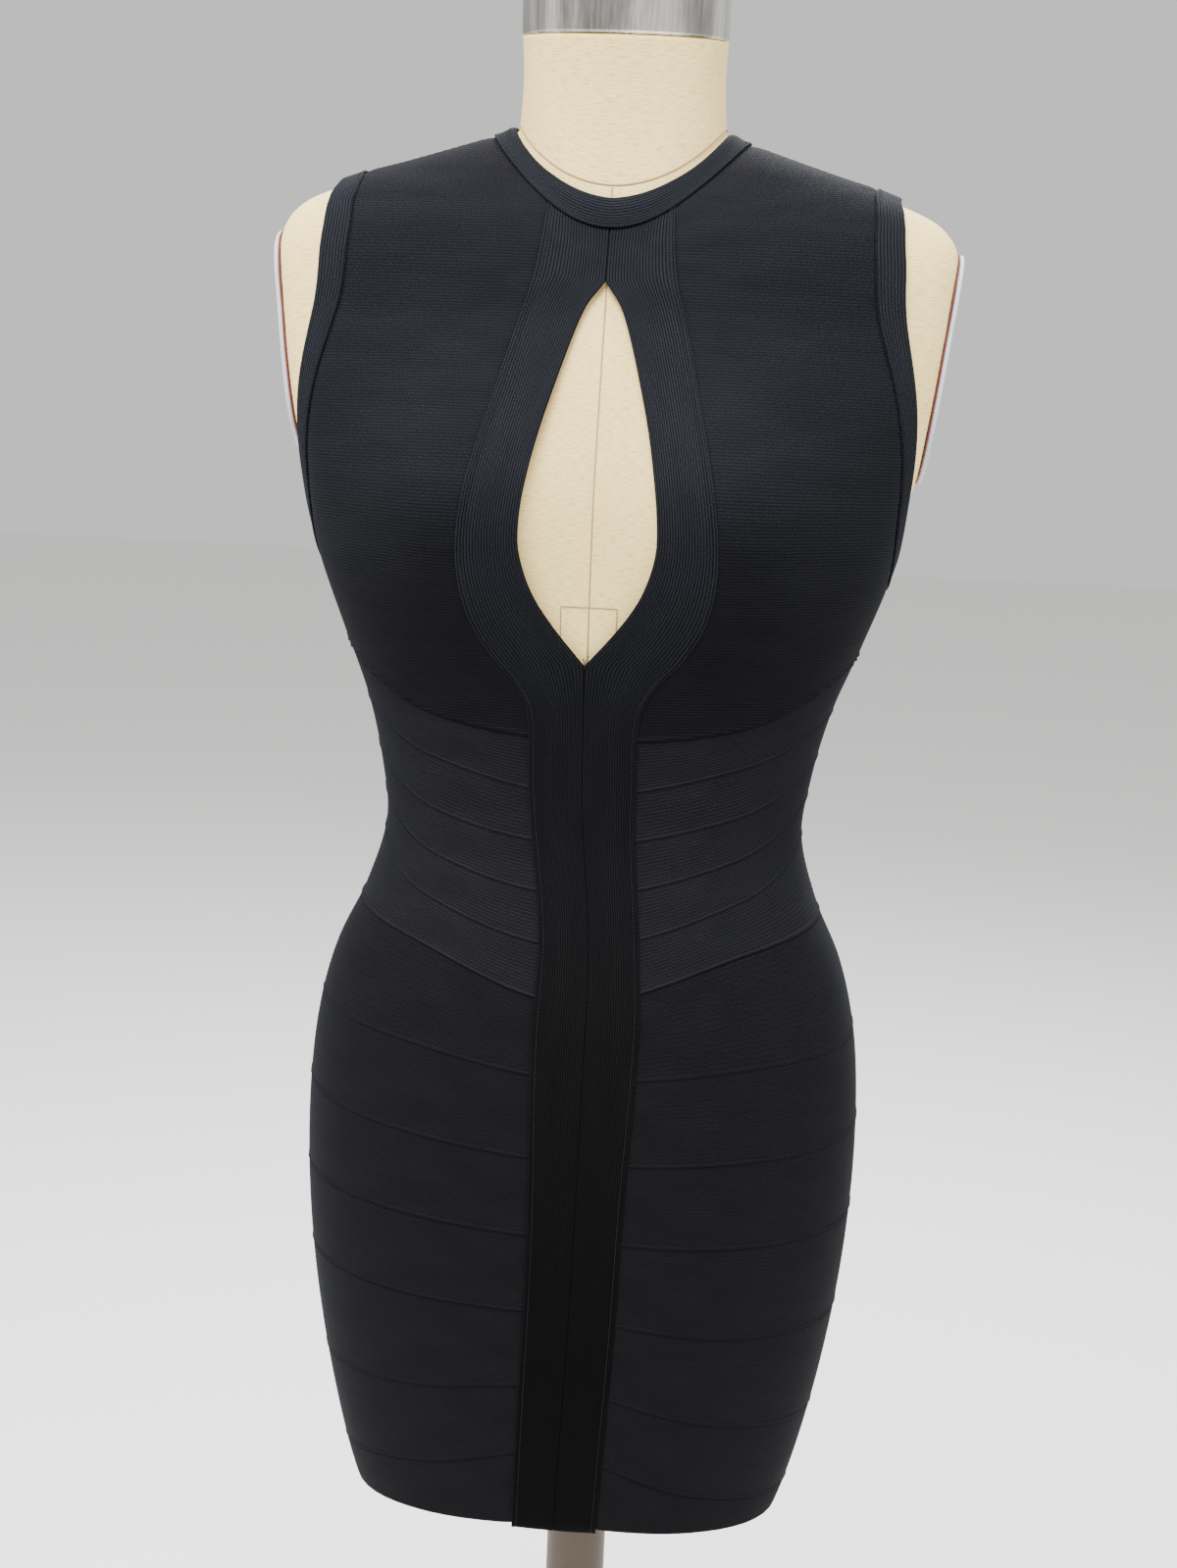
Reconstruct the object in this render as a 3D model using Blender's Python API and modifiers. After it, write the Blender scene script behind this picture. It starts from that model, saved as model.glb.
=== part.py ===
"""Bodycon dress of curved knit bands, standing on a limbless dress form with its pole and base.

Metres, +Z up. The front faces -Y, and "left" is the wearer's left, which is +X. The origin is the
middle of the base's underside. The dress and the form are drawn in their own frame, which starts
at the hem at centre front, and are parented to an empty at that height on the form's axis.

The cloth is a wall on one body surface. A place on that surface is an angle round the body
(0 at centre front, 90 degrees at the left side, 180 at centre back) and a level, which is the
height over the hem up to the armholes and goes on over the shoulders to the neck.
"""
import math
from collections import namedtuple

import bmesh
import bpy
from mathutils import Matrix, Vector

for old in list(bpy.data.objects):
    bpy.data.objects.remove(old, do_unlink=True)

# ---------------------------------------------------------------- driving dimensions
HEM_HEIGHT = 0.620          # centre-front hem above the floor
FORM_OFFSET = -0.0075       # the form's axis stands this far to the right of the pole's
CLOTH_CLEARANCE = 0.0024    # cloth's inner face to the form
CLOTH_THICKNESS = 0.0015
SEAM_HALF_GAP = 0.0005      # half of the gap that two sewn pieces keep
BODICE_SEAM_GAP = 0.0013    # a bodice front's share of the gap along the curved strip
CONTACT_GAP = 0.0003        # between hard pieces that touch

FORM_BOTTOM = 0.058         # level of the form's underside
NECK_SEAM = 0.860           # level where the form's torso ends and its neck starts
NECKBAND_BOTTOM = 0.835
NECKBAND_TOP = 0.852
ZIP_BOTTOM_SEAM = "skirt_1"  # the zip ends at this seam
ZIP_HALF_WIDTH = 0.0065     # tapes and chain together fill twice this
CHAIN_HALF_WIDTH = 0.0020

# The form's surface. The three heights are a level's at centre front, at the side and at centre
# back; half_width, front and back are its reach from the axis, and square is how boxy it is (2 is
# an ellipse).
Section = namedtuple("Section", "level front_height side_height back_height half_width front back square")
SECTIONS = [Section(*row) for row in (
    (-0.050, -0.0500, -0.0500, -0.050, 0.1120, 0.0700, 0.0850, 2.2),
    (0.000, 0.0000, 0.0000, 0.000, 0.1300, 0.0820, 0.0980, 2.2),
    (0.050, 0.0500, 0.0500, 0.050, 0.1425, 0.0920, 0.1120, 2.2),
    (0.100, 0.1000, 0.1000, 0.100, 0.1515, 0.1010, 0.1230, 2.2),
    (0.150, 0.1500, 0.1500, 0.150, 0.1575, 0.1080, 0.1310, 2.2),
    (0.200, 0.2000, 0.2000, 0.200, 0.1602, 0.1120, 0.1350, 2.2),
    (0.250, 0.2500, 0.2500, 0.250, 0.1592, 0.1130, 0.1340, 2.2),
    (0.290, 0.2900, 0.2900, 0.290, 0.1545, 0.1110, 0.1280, 2.2),
    (0.325, 0.3250, 0.3250, 0.325, 0.1450, 0.1070, 0.1170, 2.2),
    (0.360, 0.3600, 0.3600, 0.360, 0.1290, 0.1000, 0.1010, 2.2),
    (0.400, 0.4000, 0.4000, 0.400, 0.1180, 0.0920, 0.0870, 2.2),
    (0.435, 0.4350, 0.4350, 0.435, 0.1215, 0.0910, 0.0840, 2.2),
    (0.475, 0.4750, 0.4750, 0.475, 0.1310, 0.0950, 0.0880, 2.2),
    (0.515, 0.5150, 0.5150, 0.515, 0.1460, 0.1000, 0.0960, 2.3),
    (0.555, 0.5550, 0.5550, 0.555, 0.1600, 0.1030, 0.1030, 2.5),
    (0.600, 0.6000, 0.6000, 0.600, 0.1715, 0.1020, 0.1080, 2.7),
    (0.645, 0.6450, 0.6450, 0.645, 0.1820, 0.0920, 0.1110, 2.9),
    (0.690, 0.6900, 0.6900, 0.690, 0.1885, 0.0790, 0.1100, 3.0),
    (0.725, 0.7065, 0.7280, 0.722, 0.1900, 0.0745, 0.1030, 2.9),
    (0.755, 0.7165, 0.7480, 0.745, 0.1790, 0.0715, 0.0945, 2.6),
    (0.780, 0.7235, 0.7610, 0.760, 0.1510, 0.0695, 0.0865, 2.3),
    (0.800, 0.7285, 0.7700, 0.772, 0.1210, 0.0680, 0.0790, 2.1),
    (0.820, 0.7335, 0.7790, 0.783, 0.0920, 0.0670, 0.0715, 2.1),
    (0.835, 0.7385, 0.7865, 0.791, 0.0695, 0.0665, 0.0655, 2.1),
    (0.850, 0.7535, 0.7925, 0.805, 0.0585, 0.0640, 0.0605, 2.1),
    (0.860, 0.7605, 0.7970, 0.812, 0.0575, 0.0630, 0.0585, 2.1),
)]

# The bust: two soft mounds on the front, and how far the cloth bridges the hollow between them.
BUST_X = 0.080
BUST_LEVEL = 0.590
BUST_PROUD = 0.024
BUST_SPREAD = 0.046
BUST_ABOVE = 0.060
BUST_BELOW = 0.052
BUST_BRIDGE = 0.5

# Heights of the seams between the bands, at centre front, at 50 and 90 degrees on each side, and
# at centre back. They sweep up round the waist and sag round the lower skirt.
Seam = namedtuple("Seam", "name front right_50 right_side left_50 left_side back")
SEAMS = {row[0]: Seam(*row) for row in (
    ("underbust", 0.467, 0.476, 0.511, 0.476, 0.511, 0.500),
    ("waist_1", 0.435, 0.450, 0.478, 0.452, 0.478, 0.464),
    ("waist_2", 0.407, 0.419, 0.450, 0.423, 0.451, 0.436),
    ("waist_3", 0.379, 0.394, 0.424, 0.398, 0.427, 0.408),
    ("waist_4", 0.351, 0.371, 0.399, 0.375, 0.402, 0.380),
    ("hip", 0.321, 0.346, 0.354, 0.347, 0.355, 0.346),
    ("skirt_1", 0.279, 0.291, 0.296, 0.285, 0.289, 0.294),
    ("skirt_2", 0.2325, 0.2400, 0.2460, 0.2320, 0.2350, 0.2440),
    ("skirt_3", 0.187, 0.191, 0.193, 0.181, 0.181, 0.191),
    ("skirt_4", 0.140, 0.141, 0.142, 0.124, 0.121, 0.139),
    ("skirt_5", 0.0935, 0.0810, 0.0740, 0.0670, 0.0560, 0.0780),
    ("skirt_6", 0.049, 0.029, 0.015, 0.018, 0.006, 0.030),
    ("hem", -0.002, -0.007, -0.012, -0.008, -0.013, -0.006),
)}
WAIST_SEAMS = ("underbust", "waist_1", "waist_2", "waist_3", "waist_4", "hip")
SKIRT_SEAMS = ("hip", "skirt_1", "skirt_2", "skirt_3", "skirt_4", "skirt_5", "skirt_6", "hem")
SEAM_ANGLES = (-180, -90, -50, 0, 50, 90, 180)

# The two front strips: where their centre line runs, how far out their outer edges are, and the
# keyhole that their inner edges leave.
CENTRE_LINE = ((-0.05, -0.0020), (0.05, 0.0020), (0.15, 0.0060), (0.28, 0.0080), (0.35, 0.0075),
               (0.42, 0.0005), (0.48, -0.0010), (0.60, -0.0010), (0.84, 0.0000))
STRIP_EDGE = ((-0.050, 0.0230), (0.100, 0.0245), (0.200, 0.0252), (0.300, 0.0280), (0.360, 0.0260),
              (0.440, 0.0280), (0.480, 0.0295), (0.4975, 0.0380), (0.5125, 0.0510), (0.535, 0.0630),
              (0.565, 0.0678), (0.600, 0.0645), (0.650, 0.0528), (0.700, 0.0405), (0.740, 0.0360),
              (0.840, 0.0330))
KEYHOLE_BOTTOM = 0.507
KEYHOLE_TOP = 0.731
KEYHOLE = ((KEYHOLE_BOTTOM, 0.0), (0.5275, 0.0170), (0.545, 0.0285), (0.562, 0.0350),
           (0.576, 0.0372), (0.600, 0.0352), (0.640, 0.0268), (0.690, 0.0118), (KEYHOLE_TOP, 0.0))

# The armhole: a rounded loop on the body surface, and the binding that lies round it.
ARMHOLE_LOW = 0.567
ARMHOLE_HIGH = 0.765
ARMHOLE_FRONT_ANGLE = 20.0
ARMHOLE_BACK_ANGLE = 23.0
ARMHOLE_POWER = 2.4
BINDING_LEVELS = 0.014      # the binding's width along the levels
BINDING_ANGLE = 4.6         # and round the body, in degrees
BINDING_REACH = 0.96        # part of that width which leaves the seam's gap
ARMHOLE_STEPS = 12          # rows from the armhole's foot to its top
BODICE_SEAM_ROWS = 4        # rows between the underbust seam and the armhole's foot

# The form's hard pieces
PLATE_TOP_X = 0.1925        # outer face of an arm plate at the height below
PLATE_TOP_HEIGHT = 0.733
PLATE_TILT = 7.0
PLATE_THICKNESS = 0.005
PLATE_HEIGHT = 0.146
PLATE_DEPTH = 0.094
PLATE_CENTRE_Y = 0.004
PLATE_CENTRE_HEIGHT = 0.679
NECK_CENTRE_Y = -0.012
NECK_HALF_WIDTH = 0.0565
NECK_HALF_DEPTH = 0.0550
NECK_TOP = 0.842
NECK_CAP_TILT = 5.0
NECK_CAP_HEIGHT = 0.032
NECK_CAP_PROUD = 0.0008
POLE_RADIUS = 0.018
BASE_RADIUS = 0.210
BASE_THICKNESS = 0.010
HUB_RADIUS = 0.032
HUB_HEIGHT = 0.040

# The zip's slider and pull tab
SLIDER_LEVEL = 0.8435
SLIDER_SIZE = (0.0085, 0.0026, 0.0110)      # wide, thick, long
BRIDGE_WIDTH = 0.0020
BRIDGE_LENGTH = 0.0080
BRIDGE_RISE = 0.0036
BRIDGE_WALL = 0.0008
PULL_AXIS_RISE = 0.0014                     # of the tab's top bar over the slider's face
PULL_WIDTH = 0.0070
PULL_LENGTH = 0.0240
PULL_THICKNESS = 0.0012
PULL_EYE = (0.0036, 0.0056)                 # wide, long
PULL_BAR = 0.0014
PULL_REST_ANGLE = 33.0                      # from straight down, lying back on the cloth

# ---------------------------------------------------------------- collection, frame, materials
pieces = bpy.data.collections.new("bodycon_dress")
bpy.context.scene.collection.children.link(pieces)
cutters = bpy.data.collections.new("cutters")
bpy.context.scene.collection.children.link(cutters)

dress_frame = bpy.data.objects.new("dress_frame", None)
dress_frame.location = (FORM_OFFSET, 0.0, HEM_HEIGHT)
pieces.objects.link(dress_frame)


def make_material(name, colour, roughness, metallic=0.0):
    """A Principled material of one colour."""
    material = bpy.data.materials.new(name)
    material.use_nodes = True
    shader = material.node_tree.nodes["Principled BSDF"]
    shader.inputs["Base Color"].default_value = (*colour, 1.0)
    shader.inputs["Roughness"].default_value = roughness
    shader.inputs["Metallic"].default_value = metallic
    return material


BODICE_KNIT = make_material("bodice_knit", (0.010, 0.011, 0.018), 0.75)
BAND_KNIT = make_material("band_knit", (0.014, 0.015, 0.020), 0.80)
STRIP_KNIT = make_material("strip_knit", (0.012, 0.014, 0.022), 0.75)
ZIP_TAPE = make_material("zip_tape", (0.010, 0.010, 0.012), 0.85)
ZIP_METAL = make_material("zip_metal", (0.080, 0.080, 0.085), 0.35, 1.0)
LINEN = make_material("linen", (0.720, 0.650, 0.510), 0.85)
STEEL = make_material("brushed_steel", (0.620, 0.610, 0.590), 0.32, 1.0)
PLATE_ENAMEL = make_material("plate_enamel", (0.600, 0.620, 0.640), 0.45)
POLE_ENAMEL = make_material("pole_enamel", (0.170, 0.130, 0.105), 0.45)


def finish_object(name, mesh, material, parent=dress_frame, smooth_angle=None):
    """Names a mesh, gives it its material and hangs it on its parent."""
    mesh.name = name
    mesh.materials.append(material)
    if smooth_angle is not None:
        mesh.shade_smooth()
        mesh.set_sharp_from_angle(angle=math.radians(smooth_angle))
    piece = bpy.data.objects.new(name, mesh)
    pieces.objects.link(piece)
    piece.parent = parent
    return piece


def mesh_from(bm, name):
    """The mesh of a bmesh, which is then freed."""
    mesh = bpy.data.meshes.new(name)
    bm.to_mesh(mesh)
    bm.free()
    return mesh


# ---------------------------------------------------------------- the body surface
def smooth_value(places, values, place):
    """Value at a place on the smooth curve through rising places (a cubic through each pair)."""
    last = len(places) - 1
    place = min(max(place, places[0]), places[last])
    left = 0
    while left < last - 1 and place > places[left + 1]:
        left += 1

    def slope(index):
        before, after = max(index - 1, 0), min(index + 1, last)
        return (values[after] - values[before]) / (places[after] - places[before])

    span = places[left + 1] - places[left]
    t = (place - places[left]) / span
    return (values[left] * (1 + 2 * t) * (1 - t) ** 2 + slope(left) * span * t * (1 - t) ** 2
            + values[left + 1] * t * t * (3 - 2 * t) + slope(left + 1) * span * t * t * (t - 1))


SECTION_LEVELS = [section.level for section in SECTIONS]
SECTION_COLUMNS = {column: [getattr(section, column) for section in SECTIONS]
                   for column in Section._fields}


def section_value(column, level):
    """A column of the section table at any level."""
    return smooth_value(SECTION_LEVELS, SECTION_COLUMNS[column], level)


def bust_proud(x, height, bridge):
    """How far the bust stands proud of the plain section."""
    across = math.exp(-((abs(x) - BUST_X) / BUST_SPREAD) ** 2)
    if abs(x) < BUST_X:
        across = 1 - (1 - bridge) * (1 - across)
    spread = BUST_ABOVE if height > BUST_LEVEL else BUST_BELOW
    return BUST_PROUD * across * math.exp(-((height - BUST_LEVEL) / spread) ** 2)


def surface_point(angle, level, bridge):
    """The body surface at an angle in radians and a level."""
    sine, cosine = math.sin(angle), math.cos(angle)
    in_front = cosine > 0
    half_width = section_value("half_width", level)
    depth = section_value("front" if in_front else "back", level)
    square = section_value("square", level)
    reach = ((abs(sine) / half_width) ** square + (abs(cosine) / depth) ** square) ** (-1 / square)
    side_height = section_value("side_height", level)
    middle_height = section_value("front_height" if in_front else "back_height", level)
    height = side_height + (middle_height - side_height) * cosine * cosine
    x, y = reach * sine, -reach * cosine
    if in_front:
        y -= bust_proud(x, height, bridge) * min(1.0, 2.5 * cosine)
    return Vector((x, y, height))


def surface_normal(angle, level, bridge, step=0.004):
    """The outward normal of the body surface."""
    around = surface_point(angle + step, level, bridge) - surface_point(angle - step, level, bridge)
    up = surface_point(angle, level + step, bridge) - surface_point(angle, level - step, bridge)
    return around.cross(up).normalized()


def cloth_point(angle, level, out=CLOTH_CLEARANCE):
    """A point of the cloth, out from the form along the surface's normal."""
    return (surface_point(angle, level, BUST_BRIDGE)
            + out * surface_normal(angle, level, BUST_BRIDGE))


def angle_at_x(x, level, at_back=False):
    """The angle at which the surface of a level is x from the axis, in front or at the back."""
    low, high = (math.pi / 2, math.pi) if at_back else (0.0, math.pi / 2)
    for _ in range(30):
        middle = (low + high) / 2
        reach = surface_point(middle, level, BUST_BRIDGE).x
        if (reach > abs(x)) == at_back:
            low = middle
        else:
            high = middle
    return math.copysign(low, x)


# ---------------------------------------------------------------- lines on the surface
def seam_level(name, angle):
    """Level of a seam at an angle round the body."""
    seam = SEAMS[name]
    heights = (seam.back, seam.right_side, seam.right_50, seam.front,
               seam.left_50, seam.left_side, seam.back)
    return smooth_value(SEAM_ANGLES, heights, math.degrees(angle))


def table_value(table, level):
    """Value of a two-column table at a level."""
    return smooth_value([row[0] for row in table], [row[1] for row in table], level)


def strip_outer_angle(side, level):
    """Angle of a front strip's outer edge; side is 1 on the left and -1 on the right."""
    return angle_at_x(table_value(CENTRE_LINE, level) + side * table_value(STRIP_EDGE, level), level)


def strip_inner_angle(side, level):
    """Angle of a front strip's inner edge: the centre seam, or the keyhole's rim."""
    half = SEAM_HALF_GAP
    if KEYHOLE_BOTTOM < level < KEYHOLE_TOP:
        half = max(half, table_value(KEYHOLE, level))
    return angle_at_x(table_value(CENTRE_LINE, level) + side * half, level)


def seam_shift(side, level, distance):
    """The angle that a distance along the cloth takes up at a level, near centre front or back."""
    return side * distance / section_value("front", level)


def neckline_level(angle, side_of_seam):
    """Level of a piece's edge at the neckband's lower seam: 1 is the band's, -1 the bodice's."""
    step = side_of_seam * 0.004
    apart = (surface_point(angle, NECKBAND_BOTTOM + step, BUST_BRIDGE)
             - surface_point(angle, NECKBAND_BOTTOM, BUST_BRIDGE)).length
    return NECKBAND_BOTTOM + step * SEAM_HALF_GAP / apart


def armhole_angle(level, at_front, grow):
    """Angle of the armhole's edge at a level, or of the binding's seam where grow is 1."""
    low = ARMHOLE_LOW - grow * BINDING_LEVELS
    high = ARMHOLE_HIGH + grow * BINDING_LEVELS
    if not low < level < high:
        return math.radians(90)
    along = abs(2 * (level - low) / (high - low) - 1)
    width = (ARMHOLE_FRONT_ANGLE if at_front else ARMHOLE_BACK_ANGLE) + grow * BINDING_ANGLE
    swing = width * math.sqrt(1 - along ** ARMHOLE_POWER)
    return math.radians(90 - swing if at_front else 90 + swing)


# ---------------------------------------------------------------- cloth pieces
def cloth_piece(name, columns, rows, place, material, wrap=False):
    """A wall of cloth: a grid whose points a function of (s, t) in 0..1 puts on the surface."""
    bm = bmesh.new()
    bmesh.ops.create_grid(bm, x_segments=columns, y_segments=rows, size=1.0)
    for vert in bm.verts:
        vert.co = place((vert.co.x + 1) / 2, (vert.co.y + 1) / 2)
    if wrap:
        bmesh.ops.remove_doubles(bm, verts=bm.verts, dist=0.0001)
    piece = finish_object(name, mesh_from(bm, name), material, smooth_angle=50)
    wall = piece.modifiers.new("wall", "SOLIDIFY")
    wall.thickness = CLOTH_THICKNESS
    wall.offset = 1.0
    return piece


def mix(start, end, t):
    return start + (end - start) * t


def side_name(side):
    return "left" if side > 0 else "right"


def stepped(values, t):
    """Reads a list of values at t in 0..1, straight between neighbours."""
    place = t * (len(values) - 1)
    index = min(int(place + 1e-6), len(values) - 2)
    return mix(values[index], values[index + 1], place - index)


def evenly(start, end, count):
    return [mix(start, end, index / count) for index in range(count)]


def rounded_steps(start, end, count):
    """Levels that crowd at both ends, as a rounded edge needs."""
    return [mix(start, end, (1 - math.cos(math.pi * index / count)) / 2) for index in range(count)]


def front_strip(side):
    """One of the two ribbed strips: neckband to hem, parting round the keyhole."""
    levels = (evenly(SEAMS["hem"].front, SEAMS["underbust"].front, 11)
              + evenly(SEAMS["underbust"].front, KEYHOLE_BOTTOM, 4)
              + rounded_steps(KEYHOLE_BOTTOM, KEYHOLE_TOP, 14)
              + evenly(KEYHOLE_TOP, NECKBAND_BOTTOM, 3) + [NECKBAND_BOTTOM])

    def place(s, t):
        level = stepped(levels, t)
        across = s if side > 0 else 1 - s
        inner = strip_inner_angle(side, level)
        outer = strip_outer_angle(side, level) - seam_shift(side, level, SEAM_HALF_GAP)
        angle = mix(inner, outer, across)
        return cloth_point(angle, min(level, neckline_level(angle, -1)))

    return cloth_piece("front_strip_" + side_name(side), 2, len(levels) - 1, place, STRIP_KNIT)


def bodice_levels():
    """Levels of a bodice panel's rows, from the foot of the armhole up."""
    low, high = ARMHOLE_LOW - BINDING_LEVELS, ARMHOLE_HIGH + BINDING_LEVELS
    return (rounded_steps(low, high, ARMHOLE_STEPS) + evenly(high, NECKBAND_BOTTOM, 3)
            + [NECKBAND_BOTTOM])


def bodice_point(s, t, side, inner_angle, at_front):
    """A point of a bodice panel: s from the inner edge to the armhole, t from the seam up."""
    upper = bodice_levels()
    row = t * (BODICE_SEAM_ROWS + len(upper) - 1)
    level = upper[0]
    gap = math.radians(0.25) * (-1 if at_front else 1)
    for _ in range(4):
        inner = inner_angle(level)
        outer = armhole_angle(level, at_front, 1) + gap
        angle = side * mix(abs(inner), outer, s)
        if row < BODICE_SEAM_ROWS:
            seam = seam_level("underbust", angle) + SEAM_HALF_GAP
            level = mix(seam, upper[0], row / BODICE_SEAM_ROWS)
        else:
            level = stepped(upper, (row - BODICE_SEAM_ROWS) / (len(upper) - 1))
    return cloth_point(angle, min(level, neckline_level(angle, -1)))


def bodice_panel(side, at_front):
    """A bodice front or back: underbust seam to shoulder, strip or zip to armhole."""
    def inner_front(level):
        return strip_outer_angle(side, level) + seam_shift(side, level, BODICE_SEAM_GAP)

    def inner_back(level):
        return angle_at_x(side * (ZIP_HALF_WIDTH + SEAM_HALF_GAP), level, at_back=True)

    def place(s, t):
        across = s if (side > 0) == at_front else 1 - s
        return bodice_point(across, t, side, inner_front if at_front else inner_back, at_front)

    name = "bodice_%s_%s" % ("front" if at_front else "back", side_name(side))
    columns = 8 if at_front else 11
    return cloth_piece(name, columns, BODICE_SEAM_ROWS + len(bodice_levels()) - 1, place, BODICE_KNIT)


def band(name, side, upper_seam, lower_seam, zipped, rows):
    """A curved band from the front strip round to the zip, or to the centre-back seam."""
    back_half = ZIP_HALF_WIDTH + SEAM_HALF_GAP if zipped else SEAM_HALF_GAP

    def place(s, t):
        around = s if side > 0 else 1 - s
        level = (SEAMS[upper_seam].front + SEAMS[lower_seam].front) / 2
        for _ in range(4):
            start = strip_outer_angle(side, level) + seam_shift(side, level, SEAM_HALF_GAP)
            end = angle_at_x(side * back_half, level, at_back=True)
            angle = mix(start, end, around)
            level = mix(seam_level(lower_seam, angle) + SEAM_HALF_GAP,
                        seam_level(upper_seam, angle) - SEAM_HALF_GAP, t)
        return cloth_point(angle, level)

    return cloth_piece(name, 16, rows, place, BAND_KNIT)


def neckband():
    """The ribbed band round the neck, open at centre back for the zip."""
    def place(s, t):
        level = mix(NECKBAND_BOTTOM, NECKBAND_TOP, t)
        end = angle_at_x(ZIP_HALF_WIDTH + SEAM_HALF_GAP, level, at_back=True)
        angle = mix(-end, end, s)
        return cloth_point(angle, max(level, neckline_level(angle, 1)))

    return cloth_piece("neckband", 40, 1, place, STRIP_KNIT)


def armhole_binding(side):
    """The ribbed band round an armhole, a closed ring."""
    def place(s, t):
        turn = 2 * math.pi * (1 - s if side > 0 else s)
        grow = BINDING_REACH * (1 - t)
        low = ARMHOLE_LOW - grow * BINDING_LEVELS
        high = ARMHOLE_HIGH + grow * BINDING_LEVELS
        level = mix(low, high, (1 - math.cos(turn)) / 2)
        return cloth_point(side * armhole_angle(level, turn < math.pi, grow), level)

    return cloth_piece("armhole_binding_" + side_name(side), 2 * ARMHOLE_STEPS, 1, place,
                       STRIP_KNIT, wrap=True)


def zip_strip(name, left_x, right_x, material):
    """A straight strip of the zip, from the neckband's top to the zip's end."""
    bottom = SEAMS[ZIP_BOTTOM_SEAM].back + SEAM_HALF_GAP

    def place(s, t):
        level = mix(bottom, NECKBAND_TOP, t)
        return cloth_point(math.pi - mix(left_x, right_x, s) / section_value("back", level), level)

    return cloth_piece(name, 1, 30, place, material)


# ---------------------------------------------------------------- the dress
for side in (1, -1):
    front_strip(side)
    bodice_panel(side, at_front=True)
    bodice_panel(side, at_front=False)
    for number, (upper, lower) in enumerate(zip(WAIST_SEAMS, WAIST_SEAMS[1:]), start=1):
        band("waist_band_%d_%s" % (number, side_name(side)), side, upper, lower, True, 1)
    for number, (upper, lower) in enumerate(zip(SKIRT_SEAMS, SKIRT_SEAMS[1:]), start=1):
        band("skirt_band_%d_%s" % (number, side_name(side)), side, upper, lower, number == 1, 2)
    armhole_binding(side)
neckband()
zip_strip("zip_tape_left", ZIP_HALF_WIDTH, CHAIN_HALF_WIDTH + CONTACT_GAP, ZIP_TAPE)
zip_strip("zip_chain", CHAIN_HALF_WIDTH, -CHAIN_HALF_WIDTH, ZIP_METAL)
zip_strip("zip_tape_right", -CHAIN_HALF_WIDTH - CONTACT_GAP, -ZIP_HALF_WIDTH, ZIP_TAPE)


# ---------------------------------------------------------------- the zip's slider and pull tab
def flat_outline(name, outlines, thickness):
    """A flat plate: closed outlines in a 2D curve, the first the rim and the others holes."""
    curve = bpy.data.curves.new(name, "CURVE")
    curve.dimensions = "2D"
    curve.fill_mode = "BOTH"
    curve.extrude = thickness / 2
    for outline in outlines:
        spline = curve.splines.new("POLY")
        spline.points.add(len(outline) - 1)
        for point, (x, y) in zip(spline.points, outline):
            point.co = (x, y, 0.0, 1.0)
        spline.use_cyclic_u = True
    return curve


def rounded_rectangle(width, low, high, radius, steps=4):
    """Corner points of an upright rectangle with round corners."""
    corners = ((width / 2 - radius, high - radius, 0), (-width / 2 + radius, high - radius, 90),
               (-width / 2 + radius, low + radius, 180), (width / 2 - radius, low + radius, 270))
    return [(x + radius * math.cos(math.radians(start + 90 * step / steps)),
             y + radius * math.sin(math.radians(start + 90 * step / steps)))
            for x, y, start in corners for step in range(steps + 1)]


def solid_mesh(curve, name):
    """The welded mesh of a flat curve."""
    guide = bpy.data.objects.new(name, curve)
    pieces.objects.link(guide)
    depsgraph = bpy.context.evaluated_depsgraph_get()
    mesh = bpy.data.meshes.new_from_object(guide.evaluated_get(depsgraph))
    bpy.data.objects.remove(guide, do_unlink=True)
    bm = bmesh.new()
    bm.from_mesh(mesh)
    bmesh.ops.remove_doubles(bm, verts=bm.verts, dist=0.00001)
    bm.to_mesh(mesh)
    bm.free()
    return mesh


face_out = CLOTH_CLEARANCE + CLOTH_THICKNESS + 2 * CONTACT_GAP + SLIDER_SIZE[1] / 2
slider_normal = surface_normal(math.pi, SLIDER_LEVEL, BUST_BRIDGE)
slider_centre = surface_point(math.pi, SLIDER_LEVEL, BUST_BRIDGE) + face_out * slider_normal
slider_lean = math.atan2(slider_normal.z, slider_normal.y)

bm = bmesh.new()
bmesh.ops.create_cube(bm, size=1.0, matrix=Matrix.Diagonal((*SLIDER_SIZE, 1.0)))
slider = finish_object("zip_slider", mesh_from(bm, "zip_slider"), ZIP_METAL, smooth_angle=40)
slider.location = slider_centre
slider.rotation_euler = (slider_lean, 0.0, 0.0)
rounding = slider.modifiers.new("rounding", "BEVEL")
rounding.width = 0.0007
rounding.segments = 2

bridge_steps = 10
bridge_foot = SLIDER_SIZE[1] / 2 - BRIDGE_WALL / 2
arch = [(length / 2 * math.cos(math.pi * step / bridge_steps),
         bridge_foot + rise * math.sin(math.pi * step / bridge_steps))
        for length, rise, order in ((BRIDGE_LENGTH, BRIDGE_RISE + BRIDGE_WALL / 2, 1),
                                    (BRIDGE_LENGTH - 2 * BRIDGE_WALL,
                                     BRIDGE_RISE - BRIDGE_WALL / 2, -1))
        for step in range(bridge_steps + 1)[::order]]
bridge_mesh = solid_mesh(flat_outline("bridge", [arch], BRIDGE_WIDTH), "bridge")
bridge_mesh.transform(Matrix(((0, 0, 1, 0), (0, 1, 0, 0), (-1, 0, 0, 0), (0, 0, 0, 1))))
bridge = bpy.data.objects.new("slider_bridge", bridge_mesh)
bridge.parent = dress_frame
bridge.location = slider.location
bridge.rotation_euler = slider.rotation_euler
bridge.hide_render = True
bridge.display_type = "WIRE"
cutters.objects.link(bridge)
joined = slider.modifiers.new("bridge", "BOOLEAN")
joined.operation = "UNION"
joined.object = bridge

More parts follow.
